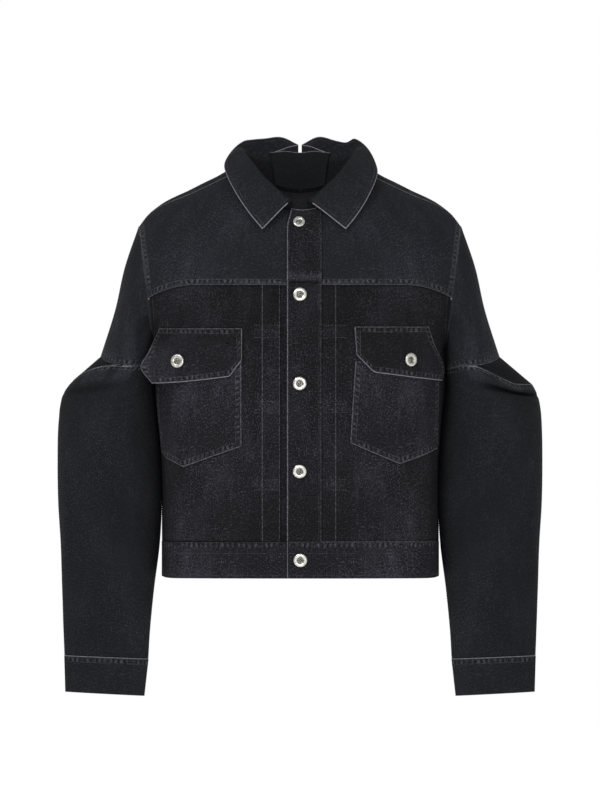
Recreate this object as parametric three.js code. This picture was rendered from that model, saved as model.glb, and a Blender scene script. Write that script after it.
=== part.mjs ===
// Denim jacket as it is worn, with no wearer in it: hollow, and open at the neck, hem and cuffs.
// Millimetres. +X is the wearer's left, the front faces -Y, +Z is up, and the origin is at the
// centre of the neck base. Left and right in the names are the wearer's.
import * as THREE from 'three';

// Cloth: one layer, two layers sewn together, and the gaps at seams and under what lies on a panel
const clothWall = 1.6;
const doubledWall = 2.6;
const seamGap = 0.3;
const lapGap = 0.9;

// Heights of the main lines, and the armhole, which is an egg seen from the side
const waistSeam = -516;
const hem = -570;
const sideSeamY = 4;
const shoulderTip = { x: 233, z: -60 };
const underarm = { x: 211, z: -235 };
const armhole = { middle: -165, front: 58, back: 72, turn: 62 };
const armholeSlant = (shoulderTip.x - underarm.x) / (shoulderTip.z - underarm.z);

// Body sections, from the hem up: half widths at the side seams and depths at the centre lines
const bodySquareness = 2.4;
const bodySections = [
  { z: -575, right: 199, left: 200, front: -117, back: 108 },
  { z: -516, right: 199, left: 200, front: -119, back: 108 },
  { z: -410, right: 200.5, left: 201, front: -124, back: 107 },
  { z: -340, right: 206.5, left: 206.3, front: -128, back: 110 },
  { z: -290, right: 211.5, left: 211.2, front: -130, back: 114 },
  { z: -235, right: 211, left: 211, front: -129, back: 118 },
  { z: -165, right: 220, left: 220, front: -123, back: 120 },
  { z: -140, right: 223, left: 223, front: -119, back: 119 },
];

// Yoke seam: level across the chest, with a dip to the armhole
const yokeSeam = { z: -146, flatTo: 150, dip: 19, dipWidth: 70.2 };

// Neckline: an oval that is lowest at the centre front
const neckline = { halfWidth: 80, y: -8, depth: 70, z: 24, frontDrop: 62, backDrop: 32 };

// How far a yoke has turned from upright where it ends, by the distance from the centre line, and
// the shoulder seam from the neck point to the shoulder tip, forward of the ridge of the shoulder
const yokeTurn = [
  { x: 0, front: 38, back: 46 },
  { x: 50, front: 52, back: 60 },
  { x: 80, front: 63, back: 104 },
  { x: 126, front: 68, back: 108 },
  { x: 160, front: 72, back: 108 },
  { x: 197, front: 80, back: 104 },
  { x: 219, front: 86, back: 96 },
  { x: 233, front: 90, back: 90 },
];
const shoulderSeam = [
  { x: 80, y: -8, z: 24 },
  { x: 126, y: -13, z: 2 },
  { x: 160, y: -14, z: -14 },
  { x: 197, y: -9, z: -29 },
  { x: 219, y: -2, z: -43 },
  { x: 233, y: 4, z: -60 },
];

// Placket: the strip down the left front that laps over, and the strip that it laps over
const placket = { right: -18.5, left: 30.5 };
const underPlacket = { right: -33, left: 20, gap: 1.1 };
const lapUnder = { right: -14.5, left: 12 };
const placketTop = 1.5;

// Pleats beside the placket: distances from the centre line, and how much of the height is reached
const pleatHeight = 1.6;
const pleatLines = {
  right: [{ x: 29, raised: 1 }, { x: 41, raised: 1 }, { x: 53.5, raised: 1 }, { x: 55.5, raised: 0 }],
  left: [
    { x: 12, raised: 0 }, { x: 31.2, raised: 0 }, { x: 33, raised: 1 },
    { x: 42, raised: 1 }, { x: 50.5, raised: 1 }, { x: 52.5, raised: 0 },
  ],
};

// Chest flaps and pockets: how far the two sides are from the centre line at each level, and the
// height of the lower edge by the distance from the centre line
const flaps = {
  right: {
    top: -208.5,
    sides: [
      { z: -288, inner: 83, outer: 210.5 },
      { z: -265, inner: 83, outer: 226.5 },
      { z: -242, inner: 83, outer: 215.5 },
      { z: -208, inner: 83.5, outer: 202 },
    ],
    bottom: [{ x: 83, z: -254 }, { x: 110, z: -278 }, { x: 166, z: -283.5 }, { x: 210.5, z: -288 }],
  },
  left: {
    top: -206,
    sides: [
      { z: -285, inner: 82, outer: 201.5 },
      { z: -264, inner: 81.5, outer: 204.5 },
      { z: -235, inner: 80, outer: 193 },
      { z: -206, inner: 78.5, outer: 185 },
    ],
    bottom: [{ x: 82, z: -246 }, { x: 104, z: -272 }, { x: 150, z: -278 }, { x: 201.5, z: -284 }],
  },
};
const pockets = {
  right: {
    top: -256,
    sides: [
      { z: -409, inner: 84, outer: 196.5 },
      { z: -351, inner: 84.5, outer: 202 },
      { z: -322, inner: 84.5, outer: 205 },
      { z: -256, inner: 84.5, outer: 206 },
    ],
    bottom: [{ x: 84, z: -379 }, { x: 168, z: -409 }, { x: 192, z: -395 }, { x: 196.5, z: -386 }],
  },
  left: {
    top: -256,
    sides: [
      { z: -405, inner: 72, outer: 197.5 },
      { z: -374, inner: 72.5, outer: 198 },
      { z: -330, inner: 75, outer: 198.5 },
      { z: -256, inner: 80, outer: 200 },
    ],
    bottom: [{ x: 72, z: -374 }, { x: 143.5, z: -404.5 }, { x: 180, z: -391 }, { x: 197.5, z: -382 }],
  },
};

// A flap stands off the pocket under it, from its seam down to a level, and a little more at its rim
const flapStand = { from: -208, to: -246, off: 3.4, rim: 4.2 };

// The right flap leaves the body at its outer end
const flapFree = { from: 163, slope: 0.33, top: -208, bottom: -238 };

// Sleeve sections, seen from the front: the outer and the inner end of each section, where between
// them it is deepest, and its depths before and behind the side line
const upperSleeve = [
  { at: 0, outerX: 233.6, outerZ: -60, innerX: 211.6, innerZ: -235, deepest: 0.4, front: 58, back: 72 },
  { at: 0.33, outerX: 254, outerZ: -120, innerX: 212, innerZ: -247, deepest: 0.43, front: 65, back: 80 },
  { at: 0.67, outerX: 268, outerZ: -182, innerX: 212, innerZ: -257, deepest: 0.47, front: 71, back: 87 },
  { at: 1, outerX: 289, outerZ: -249, innerX: 212.2, innerZ: -268, deepest: 0.5, front: 76, back: 92 },
];
const elbows = {
  right: {
    rim: { outerX: 320.5, outerZ: -276.3, innerX: 212.2, innerZ: -268, deepest: 0.5, front: 78, back: 98 },
    arch: 14,
    round: 5,
    open: { frontFrom: 90, frontTo: 45, backFrom: -140, backTo: -105 },
    gusset: { from: 5, to: -8, sink: 5 },
  },
  left: {
    rim: { outerX: 336, outerZ: -288.7, innerX: 212.2, innerZ: -268, deepest: 0.5, front: 78, back: 98 },
    arch: -6,
    round: 1.5,
    open: { frontFrom: 106, frontTo: 60, backFrom: -140, backTo: -105 },
    gusset: { from: 6, to: -8, sink: 5 },
  },
};
const lowerSleeve = [
  { at: 0.06, outerX: 346, outerZ: -312, innerX: 212.2, innerZ: -296, deepest: 0.5, front: 76, back: 96 },
  { at: 0.16, outerX: 350.5, outerZ: -350, innerX: 207.2, innerZ: -345, deepest: 0.5, front: 72, back: 88 },
  { at: 0.3, outerX: 351.5, outerZ: -405, innerX: 202.2, innerZ: -402, deepest: 0.5, front: 66, back: 79 },
  { at: 0.45, outerX: 350.5, outerZ: -462, innerX: 201.2, innerZ: -462, deepest: 0.5, front: 58, back: 70 },
  { at: 0.6, outerX: 347, outerZ: -520, innerX: 203.6, innerZ: -522, deepest: 0.5, front: 51, back: 61 },
  { at: 0.75, outerX: 345, outerZ: -582, innerX: 211.5, innerZ: -584, deepest: 0.5, front: 43, back: 52 },
  { at: 0.9, outerX: 343, outerZ: -642, innerX: 217.5, innerZ: -645, deepest: 0.5, front: 34, back: 41 },
  { at: 1, outerX: 341.5, outerZ: -682, innerX: 220, innerZ: -687, deepest: 0.5, front: 27, back: 33 },
];
const cuff = [
  { at: 0, outerX: 342, outerZ: -682, innerX: 219.5, innerZ: -687, deepest: 0.5, front: 28, back: 34 },
  { at: 1, outerX: 340.5, outerZ: -735, innerX: 225.5, innerZ: -741, deepest: 0.5, front: 27, back: 32 },
];

// Rows of a lower sleeve are closer near the elbow, and those of a placket near the neck
const elbowCrowding = 1.35;
const neckCrowding = 1.3;

// Folds of a sleeve fade to nothing over these shares of its length at its two ends
const sleeveFoldFade = { top: 0.12, bottom: 0.1 };

// Largest folds of the sleeves: height, direction round the sleeve in degrees from its outer side
// to the front, half length up and down, half width round it, and height of the ridge
const sleeveFolds = {
  right: [
    { z: -330, round: 75, long: 34, wide: 34, high: -5 },
    { z: -420, round: -70, long: 70, wide: 26, high: -5 },
    { z: -560, round: 60, long: 60, wide: 24, high: -3 },
    { z: -640, round: -80, long: 26, wide: 40, high: 4 },
    { z: -215, round: 100, long: 26, wide: 30, high: -4 },
  ],
  left: [
    { z: -318, round: 60, long: 22, wide: 50, high: 6 },
    { z: -350, round: 85, long: 26, wide: 34, high: -5 },
    { z: -450, round: -80, long: 70, wide: 26, high: -5 },
    { z: -600, round: 70, long: 50, wide: 24, high: -3 },
    { z: -215, round: 100, long: 26, wide: 30, high: -4 },
  ],
};

// Largest folds of the body, by height and distance from the centre line. They fade to nothing
// towards the side seams and armholes
const bodyFoldFade = { end: 205, width: 20 };
const bodyFolds = [
  { face: -1, x: -170, z: -478, long: 34, wide: 26, lean: 0.1, high: 4 },
  { face: -1, x: 165, z: -480, long: 34, wide: 26, lean: -0.1, high: 4 },
  { face: -1, x: -184, z: -186, long: 26, wide: 22, lean: 0.3, high: -4 },
  { face: -1, x: 184, z: -186, long: 26, wide: 22, lean: -0.3, high: -4 },
  { face: 1, x: -120, z: -440, long: 70, wide: 20, lean: 0.15, high: 5 },
  { face: 1, x: 110, z: -430, long: 70, wide: 20, lean: -0.15, high: 5 },
  { face: 1, x: -5, z: -470, long: 45, wide: 22, lean: 0, high: -5 },
];

// Collar sections from the front end round to the slit at the centre back: the direction of the
// neck seam point, the roll where the collar turns over, its free edge, and how much further out
// the edge of the left half lies
const collarWall = 2.2;
const collarSections = [
  { at: 0, neck: 8, rollX: 15, rollY: -89, rollZ: -26, edgeX: 54.4, edgeY: -106, edgeZ: -65, leftOut: 12 },
  { at: 0.12, neck: 24, rollX: 33, rollY: -81, rollZ: -9, edgeX: 73.5, edgeY: -93, edgeZ: -42, leftOut: 11 },
  { at: 0.25, neck: 45, rollX: 55, rollY: -62, rollZ: 13, edgeX: 91.5, edgeY: -72, edgeZ: -15, leftOut: 9 },
  { at: 0.38, neck: 68, rollX: 72, rollY: -30, rollZ: 35, edgeX: 105.5, edgeY: -38, edgeZ: 12, leftOut: 6 },
  { at: 0.5, neck: 90, rollX: 82, rollY: 2, rollZ: 49, edgeX: 109, edgeY: 6, edgeZ: 30, leftOut: 0.5 },
  { at: 0.63, neck: 110, rollX: 82, rollY: 32, rollZ: 50, edgeX: 98, edgeY: 44, edgeZ: 50, leftOut: 0 },
  { at: 0.76, neck: 130, rollX: 69, rollY: 58, rollZ: 41, edgeX: 82, edgeY: 72, edgeZ: 64, leftOut: 0 },
  { at: 0.88, neck: 152, rollX: 42, rollY: 70, rollZ: 36, edgeX: 51, edgeY: 84, edgeZ: 68, leftOut: 0 },
  { at: 0.94, neck: 165, rollX: 22, rollY: 72, rollZ: 34.5, edgeX: 27, edgeY: 87, edgeZ: 70, leftOut: 0 },
  { at: 1, neck: 177.9, rollX: 2.9, rollY: 73, rollZ: 31, edgeX: 2.9, edgeY: 87, edgeZ: 59, leftOut: 0 },
];
const collarRaise = 1.6;
const underlay = { from: 0.88, top: 0.74, inside: 3.3 };

// Metal buttons: a ring with a dished centre, on the placket and the flaps
const button = { radius: 10, height: 3.4, rim: 2.6, dish: 1.2, back: 8.6 };
const frontButtons = [
  { x: -1.5, z: -57, radius: 8.9 },
  { x: 0, z: -160, radius: 10 },
  { x: -0.5, z: -288, radius: 10 },
  { x: -0.5, z: -415, radius: 10 },
  { x: 0.5, z: -543.5, radius: 10 },
];
const flapButtons = { right: { x: -175, z: -256 }, left: { x: 156.5, z: -254 } };
const buttonSeat = 0.35;

// Colours of the washed black denim and of the metal
const denimColour = 0x26272b;
const sleeveColour = 0x232428;
const metalColour = 0xb9b7b0;

const degrees = Math.PI / 180;
const clamp = THREE.MathUtils.clamp;
const lerp = THREE.MathUtils.lerp;
const smooth = (value) => THREE.MathUtils.smoothstep(value, 0, 1);

// A smooth curve through one column of a table
function along(rows, key, at, column) {
  let first = 0;
  while (first < rows.length - 2 && at > rows[first + 1][key]) first += 1;
  const slope = (row) => {
    const low = rows[Math.max(row - 1, 0)];
    const high = rows[Math.min(row + 1, rows.length - 1)];
    return (high[column] - low[column]) / (high[key] - low[key]);
  };
  const start = rows[first];
  const end = rows[first + 1];
  const span = end[key] - start[key];
  const t = clamp((at - start[key]) / span, 0, 1);
  const bend = t * t * (3 - 2 * t);
  const leave = t * (1 - t) * (1 - t) * span * slope(first);
  const arrive = t * t * (t - 1) * span * slope(first + 1);
  return lerp(start[column], end[column], bend) + leave + arrive;
}

// A closed wall: the outer and inner points of each cell, joined round the four edges, or round two
// when the wall goes right round a tube
function wall(columns, rows, pointPair, goesRound = false) {
  const across = goesRound ? columns : columns + 1;
  const positions = [];
  for (let row = 0; row <= rows; row += 1) {
    for (let column = 0; column < across; column += 1) {
      const pair = pointPair(column / columns, row / rows);
      positions.push(...pair.outer.toArray(), ...pair.inner.toArray());
    }
  }
  const outer = (column, row) => 2 * (row * across + (column % across));
  const inner = (column, row) => outer(column, row) + 1;
  const faces = [];
  const quad = (a, b, c, d) => faces.push(a, b, c, a, c, d);
  for (let row = 0; row < rows; row += 1) {
    for (let column = 0; column < columns; column += 1) {
      const next = column + 1;
      quad(outer(column, row), outer(next, row), outer(next, row + 1), outer(column, row + 1));
      quad(inner(column, row), inner(column, row + 1), inner(next, row + 1), inner(next, row));
    }
  }
  for (let column = 0; column < columns; column += 1) {
    const next = column + 1;
    quad(outer(column, 0), inner(column, 0), inner(next, 0), outer(next, 0));
    quad(outer(column, rows), outer(next, rows), inner(next, rows), inner(column, rows));
  }
  for (let row = 0; row < rows && !goesRound; row += 1) {
    quad(outer(0, row), outer(0, row + 1), inner(0, row + 1), inner(0, row));
    quad(outer(columns, row), inner(columns, row), inner(columns, row + 1), outer(columns, row + 1));
  }
  return closedGeometry(positions, faces);
}

function closedGeometry(positions, faces) {
  const corner = (index) => new THREE.Vector3().fromArray(positions, 3 * index);
  let volume = 0;
  for (let face = 0; face < faces.length; face += 3) {
    const [a, b, c] = [corner(faces[face]), corner(faces[face + 1]), corner(faces[face + 2])];
    volume += a.dot(b.cross(c));
  }
  if (volume < 0) faces.reverse();
  const geometry = new THREE.BufferGeometry();
  geometry.setAttribute('position', new THREE.Float32BufferAttribute(positions, 3));
  geometry.setIndex(faces);
  geometry.computeVertexNormals();
  return geometry;
}

// Body surface. The direction that its walls take is one smooth field, so that walls that meet at a
// seam never cross
const bodyField = { width: 215, depth: 122, slopeFrom: -150, slope: 130 };

function bodyOutward(point) {
  const high = Math.max(point.z - bodyField.slopeFrom, 0);
  return new THREE.Vector3(
    point.x / bodyField.width ** 2,
    (point.y - sideSeamY) / bodyField.depth ** 2,
    high / bodyField.slope ** 2,
  ).normalize();
}

function sectionEdge(side, face, z) {
  if (z <= underarm.z) {
    const x = along(bodySections, 'z', z, side > 0 ? 'left' : 'right');
    return { x, y: sideSeamY, turn: 90 * degrees };
  }
  const above = z > armhole.middle;
  const reach = above ? shoulderTip.z - armhole.middle : armhole.middle - underarm.z;
  const rise = clamp((z - armhole.middle) / reach, -1, 1);
  const depth = face < 0 ? armhole.front : armhole.back;
  return {
    x: underarm.x + armholeSlant * (z - underarm.z),
    y: sideSeamY + face * depth * Math.sqrt(1 - rise * rise),
    turn: lerp(armhole.turn, 90, above ? 0 : rise * rise) * degrees,
  };
}

const centreY = (face, z) => along(bodySections, 'z', z, face < 0 ? 'front' : 'back');

// How much of the turn from the centre line to the edge is done at a distance from the centre line
function shareAt(side, face, distance, z) {
  const edge = sectionEdge(side, face, z);
  const part = clamp(distance / edge.x, 0, 1) ** (bodySquareness / 2);
  return Math.asin(part * Math.sin(edge.turn)) / edge.turn;
}

function bodyPoint(side, face, share, z) {
  const edge = sectionEdge(side, face, z);
  const power = 2 / bodySquareness;
  const turn = share * edge.turn;
  const out = (Math.sin(turn) / Math.sin(edge.turn)) ** power;
  const back = (1 - Math.max(Math.cos(turn), 0) ** power)
    / (1 - Math.max(Math.cos(edge.turn), 0) ** power);
  const middle = centreY(face, z);
  const x = side * edge.x * out;
  return new THREE.Vector3(x, middle + (edge.y - middle) * back + face * bodyFold(face, x, z), z);
}

function bodyFold(face, x, z) {
  let height = 0;
  for (const fold of bodyFolds) {
    const up = (z - fold.z) / fold.long;
    const across = (x - fold.x - fold.lean * (z - fold.z)) / fold.wide;
    if (fold.face === face) height += fold.high * Math.exp(-up * up - across * across);
  }
  return height * smooth((bodyFoldFade.end - Math.abs(x)) / bodyFoldFade.width);
}

function yokeSeamAt(distance) {
  const past = Math.max(distance - yokeSeam.flatTo, 0) / yokeSeam.dipWidth;
  return yokeSeam.z - yokeSeam.dip * past * past;
}

// Neckline by direction: 0 at the centre front, 90 at the side, 180 at the centre back
function neckPoint(side, direction) {
  const ahead = Math.cos(direction * degrees);
  const drop = ahead > 0 ? neckline.frontDrop * ahead ** 1.2 : neckline.backDrop * (-ahead) ** 1.5;
  const x = side * neckline.halfWidth * Math.sin(direction * degrees);
  return new THREE.Vector3(x, neckline.y - neckline.depth * ahead, neckline.z - drop);
}

// Top of a yoke: the neckline, then the shoulder seam
function yokeTop(side, face, distance) {
  const turn = along(yokeTurn, 'x', distance, face < 0 ? 'front' : 'back') * degrees;
  if (distance < neckline.halfWidth) {
    const direction = Math.asin(distance / neckline.halfWidth) / degrees;
    return { point: neckPoint(side, face < 0 ? direction : 180 - direction), turn };
  }
  const y = along(shoulderSeam, 'x', distance, 'y');
  const z = along(shoulderSeam, 'x', distance, 'z');
  return { point: new THREE.Vector3(side * distance, y, z), turn };
}

function yokePoint(side, face, share, rise) {
  const level = bodyPoint(side, face, share, armhole.middle);
  const bottom = bodyPoint(side, face, share, yokeSeamAt(Math.abs(level.x)));
  const spread = shoulderTip.x / sectionEdge(side, face, armhole.middle).x;
  const top = yokeTop(side, face, Math.abs(bottom.x) * spread);
  const turn = rise * top.turn;
  const height = Math.sin(turn) / Math.sin(top.turn);
  const inward = (Math.cos(turn) - Math.cos(top.turn)) / (1 - Math.cos(top.turn));
  return new THREE.Vector3(
    bottom.x * lerp(1, spread, clamp(height, 0, 1)),
    lerp(top.point.y, bottom.y, inward),
    lerp(bottom.z, top.point.z, height),
  );
}

// A point of the front by its distance from the centre line and its height
function frontPoint(x, z) {
  const side = x < 0 ? -1 : 1;
  const distance = Math.abs(x);
  const seam = yokeSeamAt(distance);
  if (z <= seam) return bodyPoint(side, -1, shareAt(side, -1, distance, z), z);
  const top = yokeTop(side, -1, distance);
  const height = clamp((z - seam) / (top.point.z - seam), 0, 1);
  const rise = Math.asin(height * Math.sin(top.turn)) / top.turn;
  const point = yokePoint(side, -1, shareAt(side, -1, distance, seam), rise);
  point.x = x;
  return point;
}

// The two faces of a wall that lies over a surface point
function layer(point, direction, from, thickness) {
  return {
    outer: point.clone().addScaledVector(direction, from + thickness),
    inner: point.clone().addScaledVector(direction, from),
  };
}

function bodyLayer(point, from, thickness) {
  return layer(point, bodyOutward(point), from, thickness);
}

// Half a seam gap is left at each edge of a panel that another one meets
function insetEdge(point, face, share) {
  if (share < 1) return point;
  const atSideSeam = point.z < underarm.z;
  point.y += atSideSeam ? face * seamGap / 2 : 0;
  point.x -= atSideSeam ? 0 : Math.sign(point.x) * seamGap / 2;
  return point;
}

// Columns of a front between its pleat and its side edge
const plainColumns = 9;

function frontBody(side) {
  const lines = side < 0 ? pleatLines.right : pleatLines.left;
  const last = lines.length - 1;
  const columns = last + plainColumns;
  const shareOf = (column, z) => {
    if (column <= last) return shareAt(side, -1, lines[column].x, z);
    return lerp(shareAt(side, -1, lines[last].x, z), 1, (column - last) / (columns - last));
  };
  return wall(columns, 12, (across, up) => {
    const column = Math.round(across * columns);
    const level = bodyPoint(side, -1, shareOf(column, armhole.middle), armhole.middle);
    const top = yokeSeamAt(Math.abs(level.x)) - seamGap / 2;
    const z = lerp(waistSeam + seamGap / 2, top, up);
    const point = insetEdge(bodyPoint(side, -1, shareOf(column, z), z), -1, across);
    const raised = column <= last ? lines[column].raised : 0;
    return bodyLayer(point, -clothWall, clothWall + pleatHeight * raised);
  });
}

function frontYoke(side) {
  const start = side < 0 ? -lapUnder.right : lapUnder.left;
  return wall(11, 8, (across, up) => {
    const from = shareAt(side, -1, start, yokeSeam.z);
    const point = insetEdge(yokePoint(side, -1, lerp(from, 1, across), up), -1, across);
    point.z += up === 0 ? seamGap / 2 : 0;
    if (up === 1) point.y -= seamGap / 2;
    return bodyLayer(point, -clothWall, clothWall);
  });
}

function backBody() {
  return wall(20, 12, (across, up) => {
    const side = across < 0.5 ? -1 : 1;
    const share = Math.abs(2 * across - 1);
    const level = bodyPoint(side, 1, share, armhole.middle);
    const top = yokeSeamAt(Math.abs(level.x)) - seamGap / 2;
    const point = bodyPoint(side, 1, share, lerp(waistSeam + seamGap / 2, top, up));
    return bodyLayer(insetEdge(point, 1, share), -clothWall, clothWall);
  });
}

function backYoke() {
  return wall(22, 10, (across, up) => {
    const side = across < 0.5 ? -1 : 1;
    const share = Math.abs(2 * across - 1);
    const point = insetEdge(yokePoint(side, 1, share, up), 1, share);
    point.z += up === 0 ? seamGap / 2 : 0;
    if (up === 1) point.y += seamGap / 2;
    return bodyLayer(point, -clothWall, clothWall);
  });
}

// Strips down the front, from the hem to the neckline
function frontStrip(right, left, bottom, from, columns) {
  return wall(columns, 18, (across, up) => {
    const x = lerp(right, left, across);
    const top = yokeTop(Math.sign(x) || 1, -1, Math.abs(x)).point.z - placketTop;
    return bodyLayer(frontPoint(x, lerp(bottom, top, 1 - (1 - up) ** neckCrowding)), from, doubledWall);
  });
}

// Waistband, a doubled band a little proud of the panels that it is sewn to
function waistband(face, columns, columnAt) {
  return wall(columns, 2, (across, up) => {
    const { side, share } = columnAt(across);
    const z = lerp(hem, waistSeam - seamGap / 2, up);
    const point = insetEdge(bodyPoint(side, face, share(z), z), face, share(z));
    return bodyLayer(point, clothWall - doubledWall, doubledWall);
  });
}

function waistbandFront(side) {
  const start = side < 0 ? -placket.right + seamGap : placket.right;
  return waistband(-1, 12, (across) => {
    if (side < 0) return { side, share: (z) => lerp(shareAt(side, -1, start, z), 1, across) };
    const lapColumns = 2 / 12;
    if (across < lapColumns) {
      const x = lerp(start, 0, across / lapColumns);
      return { side: -1, share: (z) => shareAt(-1, -1, -x, z) };
    }
    return { side, share: () => (across - lapColumns) / (1 - lapColumns) };
  });
}

function waistbandBack() {
  return waistband(1, 20, (across) => ({
    side: across < 0.5 ? -1 : 1,
    share: () => Math.abs(2 * across - 1),
  }));
}

// Straight lines between the rows of a table
function straight(rows, key, at, column) {
  let first = 0;
  while (first < rows.length - 2 && at > rows[first + 1][key]) first += 1;
  const span = rows[first + 1][key] - rows[first][key];
  const t = clamp((at - rows[first][key]) / span, 0, 1);
  return lerp(rows[first][column], rows[first + 1][column], t);
}

// Distance from the centre line on a pocket or flap. Its columns are closer where the cloth turns
function distanceOn(side, shape, across, z) {
  const inner = along(shape.sides, 'z', z, 'inner');
  const outer = along(shape.sides, 'z', z, 'outer');
  if (outer > sectionEdge(side, -1, z).x - 1) return lerp(inner, outer, across);
  const share = lerp(shareAt(side, -1, inner, z), shareAt(side, -1, outer, z), across);
  return Math.abs(bodyPoint(side, -1, share, z).x);
}

function levelOn(side, shape, across, up) {
  const lowest = shape.sides[0].z;
  const bottom = straight(shape.bottom, 'x', distanceOn(side, shape, across, lowest), 'z');
  return lerp(bottom, shape.top, up);
}

function pocket(side, shape) {
  return wall(9, 8, (across, up) => {
    const z = levelOn(side, shape, across, up);
    return bodyLayer(frontPoint(side * distanceOn(side, shape, across, z), z), lapGap, clothWall);
  });
}

// The right flap leaves the body at its outer end and lies on the sleeve
function flapPoint(side, distance, z) {
  const lying = frontPoint(side * Math.min(distance, sectionEdge(side, -1, z).x), z);
  const past = distance - flapFree.from;
  if (side > 0 || past <= 0) return lying;
  const free = smooth((flapFree.top - z) / (flapFree.top - flapFree.bottom));
  const apart = frontPoint(side * flapFree.from, z);
  apart.x = side * distance;
  apart.y += flapFree.slope * past;
  return lying.lerp(apart, free);
}

function flap(side, shape) {
  return wall(9, 8, (across, up) => {
    const z = levelOn(side, shape, across, up);
    const stand = smooth((flapStand.from - z) / (flapStand.from - flapStand.to));
    const from = lerp(lapGap, flapStand.off, stand) + (1 - up) * (flapStand.rim - flapStand.off);
    return bodyLayer(flapPoint(side, distanceOn(side, shape, across, z), z), from, clothWall);
  });
}

// A point and the outward direction on a sleeve section, by the angle from the outer side
function ringPoint(section, angle) {
  const outer = new THREE.Vector3(section.outerX, sideSeamY, section.outerZ);
  const inner = new THREE.Vector3(section.innerX, sideSeamY, section.innerZ);
  const middle = inner.clone().lerp(outer, section.deepest);
  const end = Math.cos(angle) > 0 ? outer : inner;
  const reach = end.clone().sub(middle);
  const depth = Math.sin(angle) > 0 ? section.front : section.back;
  const point = middle.clone().addScaledVector(reach, Math.abs(Math.cos(angle)));
  point.y -= depth * Math.sin(angle);
  const direction = reach.clone().normalize().multiplyScalar(Math.abs(Math.cos(angle)) / reach.length());
  direction.y -= Math.sin(angle) / depth;
  return { point, direction: direction.normalize() };
}

function sectionAt(rows, at) {
  const section = {};
  for (const column of Object.keys(rows[0])) section[column] = along(rows, 'at', at, column);
  return section;
}

// How far the rim of the lower sleeve stands away from the hem of the upper one
function elbowOpening(name, angle) {
  const { frontFrom, frontTo, backFrom, backTo } = elbows[name].open;
  const turn = angle / degrees;
  const front = smooth((frontFrom - turn) / (frontFrom - frontTo));
  const back = smooth((turn - backFrom) / (backTo - backFrom));
  return front * back;
}

function elbowRimPoint(name, angle) {
  const hemRing = ringPoint(sectionAt(upperSleeve, 1), angle);
  const rim = ringPoint(elbows[name].rim, angle);
  rim.point.z += elbows[name].arch * Math.max(Math.sin(angle), 0) ** 2;
  const open = elbowOpening(name, angle);
  return {
    point: hemRing.point.lerp(rim.point, open),
    direction: hemRing.direction.lerp(rim.direction, open).normalize(),
  };
}

function sleeveFold(name, angle, z) {
  let height = 0;
  for (const fold of sleeveFolds[name]) {
    const up = (z - fold.z) / fold.long;
    const around = (angle / degrees - fold.round) / fold.wide;
    height += fold.high * Math.exp(-up * up - around * around);
  }
  return height;
}

// Sleeve walls go from one angle to another, so a half sleeve is one wall. Below the first section
// of the lower sleeve its points run on from the elbow rim
const lowerStart = lowerSleeve[0].at;

function sleevePoint(name, stretch, angle, down) {
  let ring = null;
  if (stretch === 'upper') ring = ringPoint(sectionAt(upperSleeve, down), angle);
  else if (down < lowerStart) {
    const rim = elbowRimPoint(name, angle);
    const first = ringPoint(sectionAt(lowerSleeve, lowerStart), angle);
    const past = down / lowerStart;
    const bulge = elbows[name].round * 4 * past * (1 - past) * Math.max(Math.cos(angle), 0);
    ring = {
      point: rim.point.lerp(first.point, past).addScaledVector(first.direction, bulge),
      direction: rim.direction.lerp(first.direction, past).normalize(),
    };
  } else ring = ringPoint(sectionAt(lowerSleeve, down), angle);
  const edge = smooth(down / sleeveFoldFade.top) * smooth((1 - down) / sleeveFoldFade.bottom);
  ring.point.addScaledVector(ring.direction, edge * sleeveFold(name, angle, ring.point.z));
  return ring;
}

function sleeveWall(side, columns, rows, from, to, ringAt) {
  const trim = seamGap / 2;
  return wall(columns, rows, (across, up) => {
    const angle = lerp(from, to, across) * degrees;
    const ring = ringAt(angle, up);
    const pair = layer(ring.point, ring.direction, -clothWall, clothWall);
    for (const point of [pair.outer, pair.inner]) {
      point.z += (up === 0 ? -1 : 0) * trim + (up === 1 ? 1 : 0) * trim;
      point.y += (across === 0 || across === 1) ? (from + to < 0 ? 1 : -1) * trim : 0;
      point.x *= side;
    }
    return pair;
  });
}

// Half sleeves and gussets share the same steps round the sleeve, so their rims match
const halfColumns = 11;

function upperSleeveHalf(side, name, front) {
  const [from, to] = front ? [0, 180] : [0, -180];
  const at = (angle, down) => sleevePoint(name, 'upper', angle, down);
  return sleeveWall(side, halfColumns, 7, from, to, at);
}

function lowerSleeveHalf(side, name, front) {
  const [from, to] = front ? [0, 180] : [0, -180];
  const at = (angle, down) => sleevePoint(name, 'lower', angle, down ** elbowCrowding);
  return sleeveWall(side, halfColumns, 12, from, to, at);
}

// The gusset fills the opening at the elbow and sinks between the two rims
function elbowGusset(side, name) {
  const { from, to, sink } = elbows[name].gusset;
  const between = (angle, down) => {
    const hemRing = ringPoint(sectionAt(upperSleeve, 1), angle);
    const rim = elbowRimPoint(name, angle);
    const sunk = sink * elbowOpening(name, angle) * 4 * down * (1 - down);
    const point = hemRing.point.lerp(rim.point, down);
    const direction = hemRing.direction.lerp(rim.direction, down).normalize();
    point.addScaledVector(direction, -sunk);
    return { point, direction };
  };
  const step = 180 / halfColumns;
  return sleeveWall(side, from - to, 3, from * step, to * step, between);
}

function cuffBand(side) {
  return wall(24, 2, (around, down) => {
    const angle = around * 360 * degrees;
    const signed = angle > Math.PI ? angle - 2 * Math.PI : angle;
    const ring = ringPoint(sectionAt(cuff, down), signed);
    const pair = layer(ring.point, ring.direction, -doubledWall, doubledWall);
    for (const point of [pair.outer, pair.inner]) {
      point.z -= down === 0 ? seamGap / 2 : 0;
      point.x *= side;
    }
    return pair;
  }, true);
}

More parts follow.
